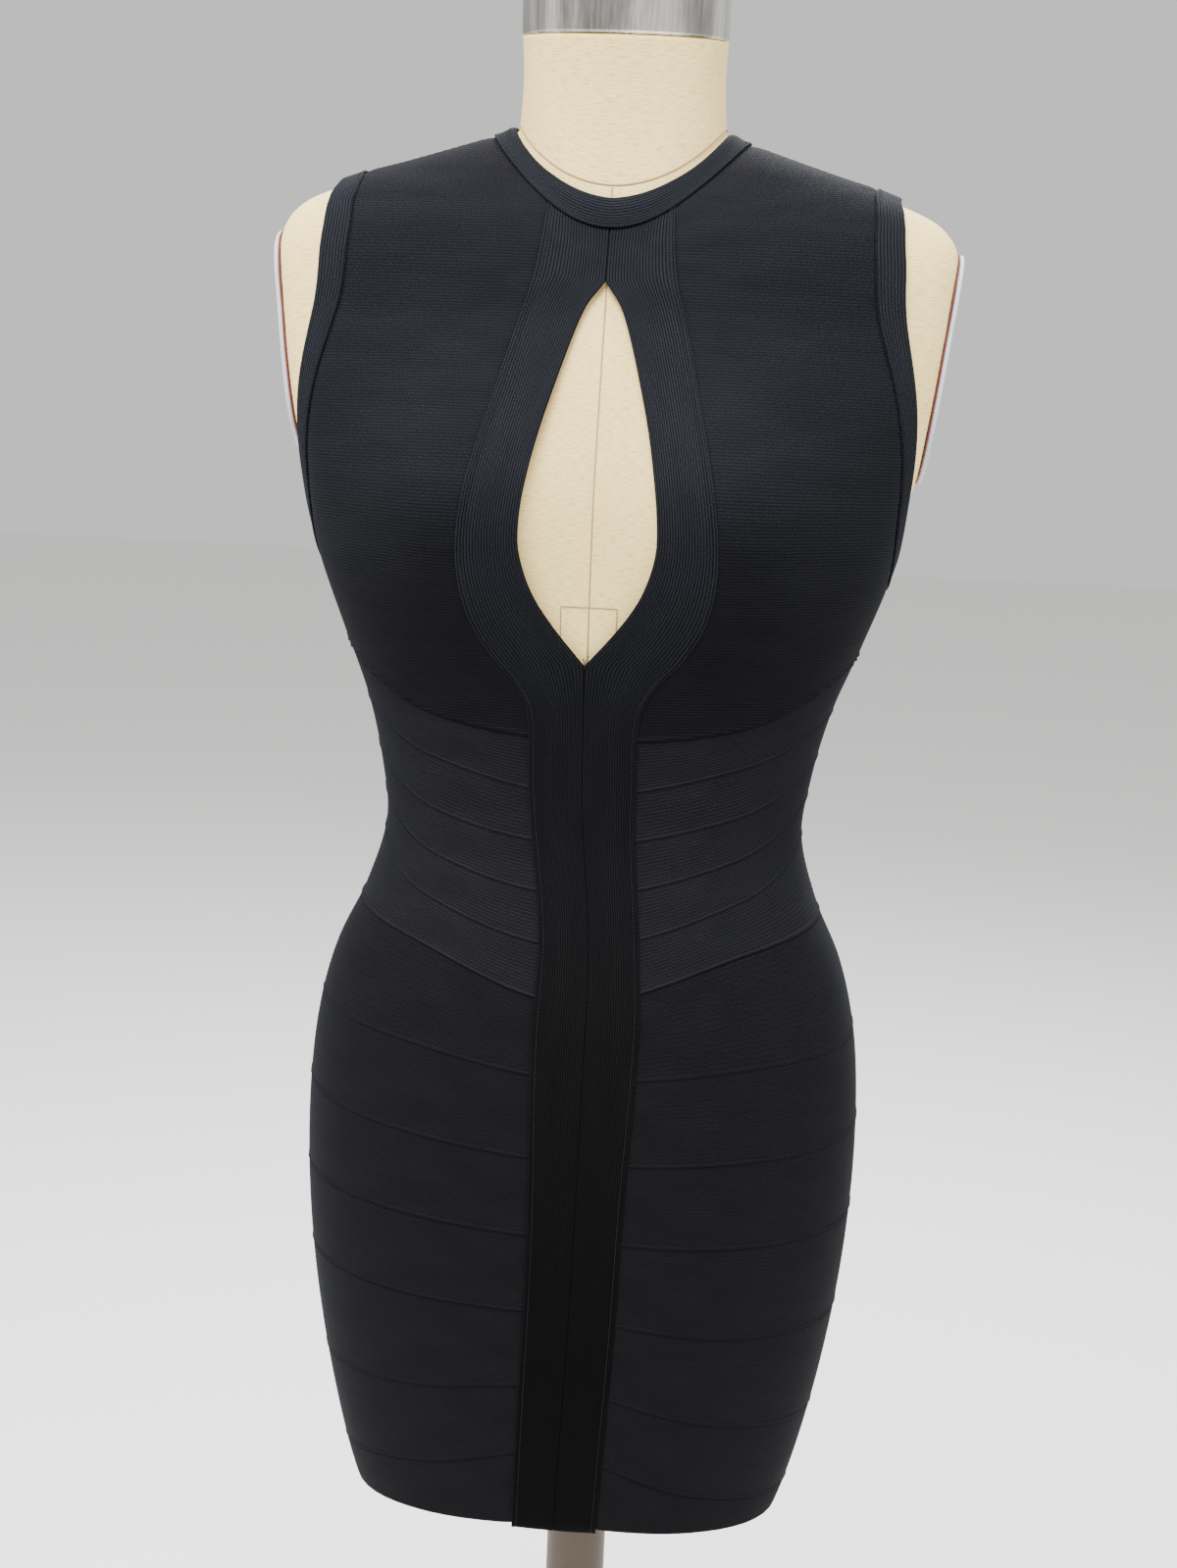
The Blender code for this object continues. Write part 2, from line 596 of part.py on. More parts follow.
tab = rounded_rectangle(PULL_WIDTH, PULL_BAR / 2 - PULL_LENGTH, PULL_BAR / 2, 0.0014)
eye = rounded_rectangle(PULL_EYE[0], -PULL_BAR / 2 - PULL_EYE[1], -PULL_BAR / 2, 0.0006, steps=2)
pull = finish_object("zip_pull", solid_mesh(flat_outline("tab", [tab, eye], PULL_THICKNESS), "tab"),
                     ZIP_METAL, smooth_angle=40)
pull.location = slider_centre + (SLIDER_SIZE[1] / 2 + PULL_AXIS_RISE) * slider_normal
pull.rotation_euler = (math.radians(90 + PULL_REST_ANGLE), 0.0, 0.0)


# ---------------------------------------------------------------- the dress form
def plate_face_x(height):
    """Outer face of an arm plate at a height."""
    return PLATE_TOP_X - math.tan(math.radians(PLATE_TILT)) * (PLATE_TOP_HEIGHT - height)


def form_point(angle, level):
    """The linen surface, cut flat where the arm plates sit."""
    point = surface_point(angle, level, 0.0)
    if level > ARMHOLE_LOW:
        limit = plate_face_x(point.z) - PLATE_THICKNESS - 2 * CONTACT_GAP
        point.x = max(-limit, min(limit, point.x))
    return point


def turned_body(name, rings, segments, material):
    """A closed body of rings: each ring is a function of the angle, the first and last a point."""
    bm = bmesh.new()
    bmesh.ops.create_uvsphere(bm, u_segments=segments, v_segments=len(rings) - 1, radius=1.0)
    for vert in bm.verts:
        from_foot = math.acos(max(-1.0, min(1.0, -vert.co.z))) / math.pi
        ring = rings[round(from_foot * (len(rings) - 1))]
        vert.co = ring(math.atan2(vert.co.x, -vert.co.y))
    return finish_object(name, mesh_from(bm, name), material, smooth_angle=60)


def body_ring(level, scale=1.0, height=None):
    """A ring of the torso, drawn in towards the axis by its scale."""
    def ring(angle):
        point = form_point(angle, level)
        return Vector((point.x * scale, point.y * scale, point.z if height is None else height))

    return ring


def single_point(x, y, height):
    return lambda angle: Vector((x, y, height))


NECK_MIDDLE = (0.0, -0.004, 0.782)      # where the torso's top and the neck's foot sink to
NECK_FOOT_GAP = 0.004
torso_rings = [single_point(0.0, 0.008, FORM_BOTTOM)]
torso_rings += [body_ring(FORM_BOTTOM + rise, scale, FORM_BOTTOM + rise)
                for rise, scale in ((0.0, 0.86), (0.003, 0.95), (0.010, 0.99))]
torso_levels = (evenly(0.080, 0.320, 8) + evenly(0.320, 0.460, 6) + evenly(0.460, 0.700, 11)
                + evenly(0.700, NECKBAND_BOTTOM, 7) + [NECKBAND_BOTTOM, 0.848, NECK_SEAM])
torso_rings += [body_ring(level) for level in torso_levels]
torso_rings += [body_ring(NECK_SEAM, 0.5, None), single_point(*NECK_MIDDLE)]
turned_body("form_torso", torso_rings, 40, LINEN)


def neck_ring(rise, scale=1.0):
    """A ring of the neck, from the seam (rise 0) to the cap (rise 1)."""
    slope = math.tan(math.radians(NECK_CAP_TILT))

    def ring(angle):
        low = form_point(angle, NECK_SEAM)
        low.z += 2 * CONTACT_GAP + (0.0 if scale == 1.0 else NECK_FOOT_GAP)
        y = NECK_CENTRE_Y - NECK_HALF_DEPTH * math.cos(angle)
        high = Vector((NECK_HALF_WIDTH * math.sin(angle), y,
                       NECK_TOP + (y - NECK_CENTRE_Y) * slope))
        point = low.lerp(high, rise)
        pinch = 1 - 0.02 * math.sin(math.pi * rise)
        point.x *= scale * pinch
        point.y = NECK_CENTRE_Y + (point.y - NECK_CENTRE_Y) * pinch if scale == 1.0 else point.y * scale
        return point

    return ring


neck_foot = single_point(NECK_MIDDLE[0], NECK_MIDDLE[1], NECK_MIDDLE[2] + NECK_FOOT_GAP)
turned_body("form_neck", [neck_foot, neck_ring(0.0, 0.5)] + [neck_ring(step / 5) for step in range(6)]
            + [single_point(0.0, NECK_CENTRE_Y, NECK_TOP)], 40, LINEN)


def disc(name, radius_x, radius_y, thickness, rim, material, location, rotation, segments=48):
    """A flat oval disc with a rounded rim."""
    bm = bmesh.new()
    bmesh.ops.create_cone(bm, cap_ends=True, segments=segments, radius1=1.0, radius2=1.0, depth=1.0,
                          matrix=Matrix.Diagonal((radius_x, radius_y, thickness, 1.0)))
    piece = finish_object(name, mesh_from(bm, name), material, smooth_angle=40)
    piece.location = location
    piece.rotation_euler = rotation
    edge = piece.modifiers.new("rim", "BEVEL")
    edge.width = rim
    edge.segments = 3
    edge.angle_limit = math.radians(40)
    return piece


cap_lean = math.radians(NECK_CAP_TILT)
cap_lift = NECK_CAP_HEIGHT / 2 + CONTACT_GAP
disc("neck_cap", NECK_HALF_WIDTH + NECK_CAP_PROUD,
     NECK_HALF_DEPTH / math.cos(cap_lean) + NECK_CAP_PROUD, NECK_CAP_HEIGHT, 0.0025, STEEL,
     (0.0, NECK_CENTRE_Y - cap_lift * math.sin(cap_lean), NECK_TOP + cap_lift * math.cos(cap_lean)),
     (cap_lean, 0.0, 0.0))
for side in (1, -1):
    centre_x = plate_face_x(PLATE_CENTRE_HEIGHT) - PLATE_THICKNESS / 2
    disc("arm_plate_" + side_name(side), PLATE_HEIGHT / 2, PLATE_DEPTH / 2, PLATE_THICKNESS, 0.0015,
         PLATE_ENAMEL, (side * centre_x, PLATE_CENTRE_Y, PLATE_CENTRE_HEIGHT),
         (0.0, math.radians(90 + PLATE_TILT) * side, 0.0), segments=36)

# ---------------------------------------------------------------- the stand, on the pole's own axis
pole_foot = HUB_HEIGHT + CONTACT_GAP
pole_length = HEM_HEIGHT + FORM_BOTTOM - CONTACT_GAP - pole_foot
bm = bmesh.new()
bmesh.ops.create_cone(bm, cap_ends=True, segments=32, radius1=POLE_RADIUS, radius2=POLE_RADIUS,
                      depth=pole_length)
pole = finish_object("pole", mesh_from(bm, "pole"), POLE_ENAMEL, parent=None, smooth_angle=40)
pole.location = (0.0, 0.0, pole_foot + pole_length / 2)

# The base's section, from the top of its hub down the outside to the floor.
base_profile = ((0.0, HUB_HEIGHT), (HUB_RADIUS - 0.004, HUB_HEIGHT), (HUB_RADIUS, HUB_HEIGHT - 0.004),
                (HUB_RADIUS + 0.003, 0.020), (HUB_RADIUS + 0.014, BASE_THICKNESS + 0.003),
                (BASE_RADIUS - 0.012, BASE_THICKNESS), (BASE_RADIUS - 0.003, BASE_THICKNESS - 0.003),
                (BASE_RADIUS, 0.004), (BASE_RADIUS, 0.0), (0.0, 0.0))
bm = bmesh.new()
profile = [bm.verts.new((radius, 0.0, height)) for radius, height in base_profile]
for start, end in zip(profile, profile[1:]):
    bm.edges.new((start, end))
base = finish_object("base_plate", mesh_from(bm, "base_plate"), POLE_ENAMEL, parent=None,
                     smooth_angle=40)
turning = base.modifiers.new("turning", "SCREW")
turning.steps = 48
turning.render_steps = 48
turning.use_merge_vertices = True
turning.merge_threshold = 0.00005
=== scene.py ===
import math
from functools import partial

import bmesh
import bpy
import numpy as np
from mathutils import Matrix, Vector


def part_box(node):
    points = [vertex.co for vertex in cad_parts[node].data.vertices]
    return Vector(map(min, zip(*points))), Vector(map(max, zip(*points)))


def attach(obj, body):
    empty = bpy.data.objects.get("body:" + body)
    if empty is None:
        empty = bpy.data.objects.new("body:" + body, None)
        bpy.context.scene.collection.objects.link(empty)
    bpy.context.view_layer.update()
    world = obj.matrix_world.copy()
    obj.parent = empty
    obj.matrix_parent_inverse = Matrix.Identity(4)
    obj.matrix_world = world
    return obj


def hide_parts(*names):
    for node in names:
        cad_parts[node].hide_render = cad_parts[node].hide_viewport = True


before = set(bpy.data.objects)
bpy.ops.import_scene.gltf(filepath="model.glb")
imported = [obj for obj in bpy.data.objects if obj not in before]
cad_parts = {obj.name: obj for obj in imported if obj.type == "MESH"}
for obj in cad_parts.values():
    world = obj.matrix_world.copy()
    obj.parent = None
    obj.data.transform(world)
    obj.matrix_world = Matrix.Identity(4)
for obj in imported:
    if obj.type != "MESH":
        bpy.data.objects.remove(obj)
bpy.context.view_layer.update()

# ---------------------------------------------------------------- camera
# It stands in front of the dress, a little towards the wearer's left and above the bust, looks
# down at the waist and is held slightly out of level.
torso_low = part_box("form_torso")[0]
neck_low, neck_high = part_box("form_neck")
FORM_BOTTOM = 0.058                         # the torso's underside over the centre-front hem
HEM_HEIGHT = torso_low.z - FORM_BOTTOM      # that hem above the floor
FORM_X = (neck_low.x + neck_high.x) / 2     # the form's upright axis
CAMERA_DISTANCE = 1.310
CAMERA_OVER_HEM = 0.664
CAMERA_SIDESTEP = 0.0044
CAMERA_AZIMUTH = 4.5
CAMERA_TILT = 10.4
CAMERA_LEAN = 2.4
CAMERA_LENS = 52.0


def new_object(name, data):
    """An object, linked into the scene."""
    made = bpy.data.objects.new(name, data)
    bpy.context.scene.collection.objects.link(made)
    return made


camera = new_object("camera", bpy.data.cameras.new("camera"))
camera.data.lens = CAMERA_LENS
bpy.context.scene.camera = camera
azimuth_turn = Matrix.Rotation(math.radians(CAMERA_AZIMUTH), 4, "Z")
camera_stand = azimuth_turn @ Vector((-CAMERA_SIDESTEP, -CAMERA_DISTANCE, CAMERA_OVER_HEM))
camera.matrix_world = (Matrix.Translation(camera_stand + Vector((FORM_X, 0.0, HEM_HEIGHT)))
                       @ azimuth_turn
                       @ Matrix.Rotation(math.radians(90 - CAMERA_TILT), 4, "X")
                       @ Matrix.Rotation(math.radians(CAMERA_LEAN), 4, "Z"))

# ---------------------------------------------------------------- torso of the form
# A hard shell covered tight in cream linen, cut flat at the arms. A place on it is an angle round
# the body (0 at centre front, 90 degrees at the wearer's left) and a level, the height over the
# hem, which goes on over the shoulders to the neck.
BODY = "dress_and_form"
SECTIONS = (
    # level, half width, front and back depth, squareness, and over the shoulders the height at
    # front, side and back too, which below them is the level itself
    (-0.050, 0.1120, 0.0700, 0.0850, 2.2),
    (0.000, 0.1300, 0.0820, 0.0980, 2.2),
    (0.050, 0.1425, 0.0920, 0.1120, 2.2),
    (0.100, 0.1515, 0.1010, 0.1230, 2.2),
    (0.150, 0.1575, 0.1080, 0.1310, 2.2),
    (0.200, 0.1602, 0.1120, 0.1350, 2.2),
    (0.250, 0.1592, 0.1130, 0.1340, 2.2),
    (0.290, 0.1545, 0.1110, 0.1280, 2.2),
    (0.325, 0.1450, 0.1070, 0.1170, 2.2),
    (0.360, 0.1290, 0.1000, 0.1010, 2.2),
    (0.400, 0.1180, 0.0920, 0.0870, 2.2),
    (0.435, 0.1215, 0.0910, 0.0840, 2.2),
    (0.475, 0.1310, 0.0950, 0.0880, 2.2),
    (0.515, 0.1460, 0.1000, 0.0960, 2.3),
    (0.555, 0.1600, 0.1030, 0.1030, 2.5),
    (0.600, 0.1715, 0.1020, 0.1080, 2.7),
    (0.645, 0.1820, 0.0920, 0.1110, 2.9),
    (0.690, 0.1885, 0.0790, 0.1100, 3.0),
    (0.725, 0.1900, 0.0745, 0.1030, 2.9, 0.7065, 0.7280, 0.722),
    (0.755, 0.1790, 0.0715, 0.0945, 2.6, 0.7165, 0.7480, 0.745),
    (0.780, 0.1510, 0.0695, 0.0865, 2.3, 0.7235, 0.7610, 0.760),
    (0.800, 0.1210, 0.0680, 0.0790, 2.1, 0.7285, 0.7700, 0.772),
    (0.820, 0.0920, 0.0670, 0.0715, 2.1, 0.7335, 0.7790, 0.783),
    (0.835, 0.0695, 0.0665, 0.0655, 2.1, 0.7385, 0.7865, 0.791),
    (0.850, 0.0585, 0.0640, 0.0605, 2.1, 0.7535, 0.7925, 0.805),
    (0.860, 0.0575, 0.0630, 0.0585, 2.1, 0.7605, 0.7970, 0.812),
)
(SECTION_LEVEL, HALF_WIDTH, FRONT_DEPTH, BACK_DEPTH, SQUARE, FRONT_HEIGHT, SIDE_HEIGHT,
 BACK_HEIGHT) = np.array([(row + row[:1] * 3)[:8] for row in SECTIONS]).T
BUST_X = 0.080
BUST_LEVEL = 0.590
BUST_PROUD = 0.024
BUST_SPREAD = 0.046
BUST_ABOVE = 0.060
BUST_BELOW = 0.052
PLATE_TOP_X = 0.1925        # outer face of an arm plate at the height below
PLATE_TOP_HEIGHT = 0.733
PLATE_TILT = 7.0
PLATE_THICKNESS = 0.003
PLATE_GAP = 0.0006          # between a plate and the linen's flat behind it
ARM_CUT_LEVEL = 0.567       # the shell is cut flat from here up
NECK_SEAM = 0.860
LAY_RADIUS = 0.15           # turns an angle round the body into metres of cloth


def smooth_value(places, values, place):
    """Values on the smooth curve through rising places, for an array of places."""
    places, values = np.asarray(places, float), np.asarray(values, float)
    index = np.arange(len(places))
    before, after = np.maximum(index - 1, 0), np.minimum(index + 1, len(places) - 1)
    slope = (values[after] - values[before]) / (places[after] - places[before])
    place = np.clip(place, places[0], places[-1])
    left = np.clip(np.searchsorted(places, place, side="right") - 1, 0, len(places) - 2)
    span = places[left + 1] - places[left]
    t = (place - places[left]) / span
    return (values[left] * (1 + 2 * t) * (1 - t) ** 2 + slope[left] * span * t * (1 - t) ** 2
            + values[left + 1] * t * t * (3 - 2 * t) + slope[left + 1] * span * t * t * (t - 1))


def section(values, level):
    """A value of the sections at a level."""
    return smooth_value(SECTION_LEVEL, values, level)


def front_or_back(angle, front, back, level):
    """A value of the sections at a level, on the body's front or its back."""
    return np.where(np.cos(angle) > 0, section(front, level), section(back, level))


def height_at(angle, level):
    """Height of the surface at an angle and a level."""
    side_height = section(SIDE_HEIGHT, level)
    middle_height = front_or_back(angle, FRONT_HEIGHT, BACK_HEIGHT, level)
    return side_height + (middle_height - side_height) * np.cos(angle) ** 2


def surface(angle, level, bridge=0.0):
    """Points of the body surface; bridge fills the hollow between the breasts."""
    angle, level = np.broadcast_arrays(angle, level)
    sine, cosine = np.sin(angle), np.cos(angle)
    half_width = section(HALF_WIDTH, level)
    depth = front_or_back(angle, FRONT_DEPTH, BACK_DEPTH, level)
    square = section(SQUARE, level)
    reach = (np.abs(sine) / half_width) ** square + (np.abs(cosine) / depth) ** square
    reach = reach ** (-1 / square)
    height = height_at(angle, level)
    x, y = reach * sine, -reach * cosine
    across = np.exp(-((np.abs(x) - BUST_X) / BUST_SPREAD) ** 2)
    across = np.where(np.abs(x) < BUST_X, 1 - (1 - bridge) * (1 - across), across)
    spread = np.where(height > BUST_LEVEL, BUST_ABOVE, BUST_BELOW)
    proud = BUST_PROUD * across * np.exp(-((height - BUST_LEVEL) / spread) ** 2)
    y = y - proud * np.clip(2.5 * cosine, 0.0, 1.0)
    return np.stack([x, y, height], axis=-1)


def plate_face_x(height):
    """Outer face of an arm plate at a height."""
    return PLATE_TOP_X - math.tan(math.radians(PLATE_TILT)) * (PLATE_TOP_HEIGHT - height)


def cut_face_x(height):
    """The flat that the shell is cut to behind an arm plate."""
    return plate_face_x(height) - PLATE_THICKNESS - PLATE_GAP


def in_frame(points):
    """Moves points from the dress's own frame to the floor's."""
    return points + np.array([FORM_X, 0.0, HEM_HEIGHT])


def linen_at(angle, level):
    """The linen, cut flat where the arm plates sit."""
    points = surface(angle, level).copy()
    limit = cut_face_x(points[..., 2])
    limit = np.where(np.broadcast_to(level, limit.shape) > ARM_CUT_LEVEL, limit, 1.0)
    points[..., 0] = np.clip(points[..., 0], -limit, limit)
    return in_frame(points)


def finished(bm, name):
    """The mesh that a bmesh has built."""
    mesh = bpy.data.meshes.new(name)
    bm.to_mesh(mesh)
    bm.free()
    return mesh


def grid_mesh(name, across, along, place):
    """A grid of quads; place turns arrays of its two values into points and metric UVs."""
    bm = bmesh.new()
    bmesh.ops.create_grid(bm, x_segments=len(across) - 1, y_segments=len(along) - 1, size=1.0)
    mesh = finished(bm, name)
    flat = np.empty(len(mesh.vertices) * 3)
    mesh.vertices.foreach_get("co", flat)
    flat = flat.reshape(-1, 3)
    column = np.rint((flat[:, 0] + 1) / 2 * (len(across) - 1)).astype(int)
    row = np.rint((flat[:, 1] + 1) / 2 * (len(along) - 1)).astype(int)
    points, lay = place(np.asarray(across)[column], np.asarray(along)[row])
    mesh.vertices.foreach_set("co", np.ascontiguousarray(points, dtype=float).ravel())
    corner = np.empty(len(mesh.loops), dtype=int)
    mesh.loops.foreach_get("vertex_index", corner)
    layer = mesh.uv_layers.new(name="lay")
    layer.uv.foreach_set("vector", np.ascontiguousarray(lay[corner], dtype=float).ravel())
    mesh.shade_smooth()
    mesh.update()
    return mesh


def weld(mesh, distance=0.00002, closed=True):
    """Closes a mesh's seams and drops faces that have shrunk to nothing."""
    bm = bmesh.new()
    bm.from_mesh(mesh)
    bmesh.ops.remove_doubles(bm, verts=bm.verts, dist=distance)
    bmesh.ops.dissolve_degenerate(bm, edges=bm.edges, dist=distance)
    if closed:
        bmesh.ops.recalc_face_normals(bm, faces=bm.faces)
    bm.to_mesh(mesh)
    bm.free()
    return mesh


def add_piece(mesh, name, material, replaced=(), body=BODY):
    """A finished mesh becomes a piece of the object, riding on a body."""
    mesh.name = name
    mesh.materials.clear()
    mesh.materials.append(material)
    piece = new_object(name, mesh)
    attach(piece, body)
    if replaced:
        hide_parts(*replaced)
    return piece


def add_node(tree, kind, inputs=(), **settings):
    """A shader node with its settings, and its inputs linked or set."""
    made = tree.nodes.new(kind)
    for name, value in settings.items():
        setattr(made, name, value)
    for socket, value in dict(inputs).items():
        if isinstance(value, bpy.types.NodeSocket):
            tree.links.new(value, made.inputs[socket])
        else:
            made.inputs[socket].default_value = value
    return made


def start_material(name, colour, roughness, **sockets):
    """A Principled material; returns it, its node tree and its shader."""
    material = bpy.data.materials.new(name)
    material.use_nodes = True
    shader = material.node_tree.nodes["Principled BSDF"]
    shader.inputs["Base Color"].default_value = (*colour, 1.0)
    shader.inputs["Roughness"].default_value = roughness
    for socket, value in sockets.items():
        shader.inputs[socket.replace("_", " ")].default_value = value
    return material, material.node_tree, shader


def stretched_noise(tree, coordinates, scale, detail=2.0, roughness=0.5):
    """Noise drawn out by a different scale along each axis."""
    laid = add_node(tree, "ShaderNodeMapping", {"Vector": coordinates, "Scale": scale})
    return add_node(tree, "ShaderNodeTexNoise",
                    {"Vector": laid.outputs[0], "Scale": 1.0, "Detail": detail,
                     "Roughness": roughness}).outputs[0]


def colour_ramp(tree, fac, stops):
    """A colour for each value: stops are (position, colour)."""
    ramp = add_node(tree, "ShaderNodeValToRGB", {"Fac": fac})
    while len(ramp.color_ramp.elements) < len(stops):
        ramp.color_ramp.elements.new(0.5)
    for element, (position, colour) in zip(ramp.color_ramp.elements, stops):
        element.position = position
        element.color = (*colour, 1.0)
    return ramp.outputs["Color"]


def maths(tree, operation, *values):
    """A sum of sockets and numbers."""
    return add_node(tree, "ShaderNodeMath", dict(enumerate(values)), operation=operation).outputs[0]


def multiply_colours(tree, first, *others):
    """One colour darkened by each of the others."""
    for other in others:
        first = add_node(tree, "ShaderNodeMix", {"Factor": 1.0, 6: first, 7: other},
                         data_type="RGBA", blend_type="MULTIPLY").outputs[2]
    return first


def object_place(tree):
    """Object coordinates, in metres."""
    return add_node(tree, "ShaderNodeTexCoord").outputs["Object"]


def lay_of(tree):
    """The cloth's own coordinates, as its grid was laid."""
    return add_node(tree, "ShaderNodeUVMap", uv_map="lay").outputs[0]


def add_bump(tree, shader, height, distance):
    """Relief too fine to model."""
    bump = add_node(tree, "ShaderNodeBump",
                    {"Height": height, "Distance": distance, "Strength": 1.0})
    tree.links.new(bump.outputs[0], shader.inputs["Normal"])


def make_linen():
    """Plain-woven cream linen: slubs along the weft, finer threads across them."""
    material, tree, shader = start_material("cream_linen", (0.82, 0.66, 0.37), 0.90,
                                            Sheen_Weight=0.05, Sheen_Roughness=0.5,
                                            Specular_IOR_Level=0.12)
    lay = lay_of(tree)
    slubs = stretched_noise(tree, lay, (150.0, 1900.0, 1.0), 3.0)
    threads = stretched_noise(tree, lay, (2000.0, 260.0, 1.0), 2.0)
    patches = stretched_noise(tree, lay, (9.0, 9.0, 1.0))
    slub_colour = colour_ramp(tree, slubs, ((0.30, (0.62, 0.44, 0.17)), (0.48, (0.86, 0.65, 0.27)),
                                            (0.75, (0.94, 0.76, 0.37))))
    patch_colour = colour_ramp(tree, patches, ((0.30, (0.90, 0.88, 0.85)), (0.70, (1.0, 1.0, 1.0))))
    tree.links.new(multiply_colours(tree, slub_colour, patch_colour), shader.inputs["Base Color"])
    add_bump(tree, shader, maths(tree, "MULTIPLY_ADD", slubs, threads, 0.12), 0.00035)
    return material


LINEN = make_linen()
torso_columns = np.radians(np.concatenate([
    np.linspace(-180, -126, 15)[:-1], np.linspace(-126, -54, 91)[:-1],
    np.linspace(-54, 54, 37)[:-1], np.linspace(54, 126, 91)[:-1], np.linspace(126, 180, 15)]))
# Rings of the torso: the level it is read at, and how far it is drawn in towards the axis.
torso_rings = np.array([(FORM_BOTTOM + rise, scale) for rise, scale in (
    (0.0, 0.0), (0.0, 0.45), (0.0, 0.86), (0.001, 0.915), (0.003, 0.950), (0.0065, 0.977),
    (0.010, 0.990), (0.015, 0.998))]
    + [(level, 1.0) for level in np.linspace(0.080, 0.590, 44)]
    + [(level, 1.0) for level in np.linspace(0.593, NECK_SEAM, 100)]
    + [(NECK_SEAM, 0.5), (NECK_SEAM, 0.0)])


def torso_place(angle, ring):
    """The torso from the middle of its underside up to the neck seam."""
    level, scale = torso_rings[ring].T
    points = linen_at(angle, level)
    points[:, 0] = FORM_X + (points[:, 0] - FORM_X) * scale
    points[:, 1] *= scale
    return points, np.stack([angle * LAY_RADIUS, level], axis=-1)


torso_mesh = grid_mesh("torso", torso_columns, np.arange(len(torso_rings)), torso_place)
add_piece(weld(torso_mesh), "linen_torso", LINEN, ["form_torso"])

# ---------------------------------------------------------------- seams of the linen
# The cover is sewn from panels: a seam stands up slightly at centre front, at centre back and
# round the foot of the neck. A small patch is stitched on at the bust line.
SEAM_THREAD = start_material("seam_thread", (0.36, 0.25, 0.12), 0.9,
                             Specular_IOR_Level=0.1)[0]


def tube_along(name, points, radius, closed=False, sides=6):
    """A fine cord through points, as a mesh."""
    curve = bpy.data.curves.new(name, "CURVE")
    curve.dimensions = "3D"
    curve.bevel_depth = radius
    curve.bevel_resolution = max(0, sides // 2 - 2)
    curve.use_fill_caps = not closed
    spline = curve.splines.new("POLY")
    spline.points.add(len(points) - 1)
    spline.points.foreach_set("co", np.column_stack([points, np.ones(len(points))]).ravel())
    spline.use_cyclic_u = closed
    guide = new_object(name, curve)
    mesh = bpy.data.meshes.new_from_object(
        guide.evaluated_get(bpy.context.evaluated_depsgraph_get()))
    bpy.data.objects.remove(guide, do_unlink=True)
    mesh.shade_smooth()
    return mesh


def join_meshes(name, meshes):
    """Several meshes as one."""
    bm = bmesh.new()
    for mesh in meshes:
        bm.from_mesh(mesh)
    joined = finished(bm, name)
    joined.shade_smooth()
    return joined


SEAM_FOOT = 0.09            # level where the upright seams start
SEAM_RADIUS = 0.00045
NECK_SEAM_RADIUS = 0.00055
PATCH_SEAM_RADIUS = 0.00038
PATCH_HALF_WIDTH = 0.0155
PATCH_DEPTH = 0.105         # of the body's front behind the patch
PATCH_LEVELS = (0.500, 0.538)
seam_levels = np.linspace(SEAM_FOOT, NECK_SEAM - 0.002, 140)
neck_seam_turn = np.linspace(-math.pi, math.pi, 121)[:-1]
seam_lines = [tube_along("seam", linen_at(np.full_like(seam_levels, angle), seam_levels),
                         SEAM_RADIUS) for angle in (0.0, math.pi)]
seam_lines.append(tube_along(
    "seam", linen_at(neck_seam_turn, np.full_like(neck_seam_turn, NECK_SEAM)), NECK_SEAM_RADIUS,
    closed=True))
patch_turn = PATCH_HALF_WIDTH / PATCH_DEPTH
patch_corners = np.array([(-patch_turn, PATCH_LEVELS[0]), (-patch_turn, PATCH_LEVELS[1]),
                          (patch_turn, PATCH_LEVELS[1]), (patch_turn, PATCH_LEVELS[0])])
patch_path = np.array([start + (end - start) * share
                       for start, end in zip(patch_corners, patch_corners[1:])
                       for share in np.linspace(0, 1, 14)[:-1]])
seam_lines.append(tube_along("seam", linen_at(*patch_path.T), PATCH_SEAM_RADIUS))
add_piece(join_meshes("seams", seam_lines), "linen_seams", SEAM_THREAD)

# ---------------------------------------------------------------- neck of the form
# A linen-covered column, a little narrower half way, that rises out of the neck seam and ends
# flat under the cap, which tilts forward.
NECK_CENTRE_Y = -0.012
NECK_HALF_WIDTH = 0.0565
NECK_HALF_DEPTH = 0.0550
NECK_TOP = 0.842
NECK_CAP_TILT = 5.0
NECK_PINCH = 0.02           # how much narrower it is half way
NECK_RISES = 34
NECK_RADIUS = 0.057


def neck_place(angle, ring):
    """The neck from its seam up to the middle of its flat top."""
    rise = np.minimum(ring / NECK_RISES, 1.0)
    scale = np.where(ring > NECK_RISES, 0.0, 1.0)
    low = linen_at(angle, np.full(angle.shape, NECK_SEAM)) - in_frame(np.zeros(3))
    y = NECK_CENTRE_Y - NECK_HALF_DEPTH * np.cos(angle)
    high = np.stack([NECK_HALF_WIDTH * np.sin(angle), y,
                     NECK_TOP + (y - NECK_CENTRE_Y) * math.tan(math.radians(NECK_CAP_TILT))], -1)
    points = low + (high - low) * rise[:, None]
    pinch = 1 - NECK_PINCH * np.sin(math.pi * rise)
    points[:, 0] *= pinch * scale
    points[:, 1] = NECK_CENTRE_Y + (points[:, 1] - NECK_CENTRE_Y) * pinch * scale
    points[:, 2] = np.where(scale > 0, points[:, 2], NECK_TOP)
    return in_frame(points), np.stack([angle * NECK_RADIUS, NECK_SEAM + rise * 0.06], axis=-1)


neck_mesh = grid_mesh("neck", np.linspace(-math.pi, math.pi, 121), np.arange(NECK_RISES + 2),
                      neck_place)
add_piece(weld(neck_mesh), "linen_neck", LINEN, ["form_neck"])

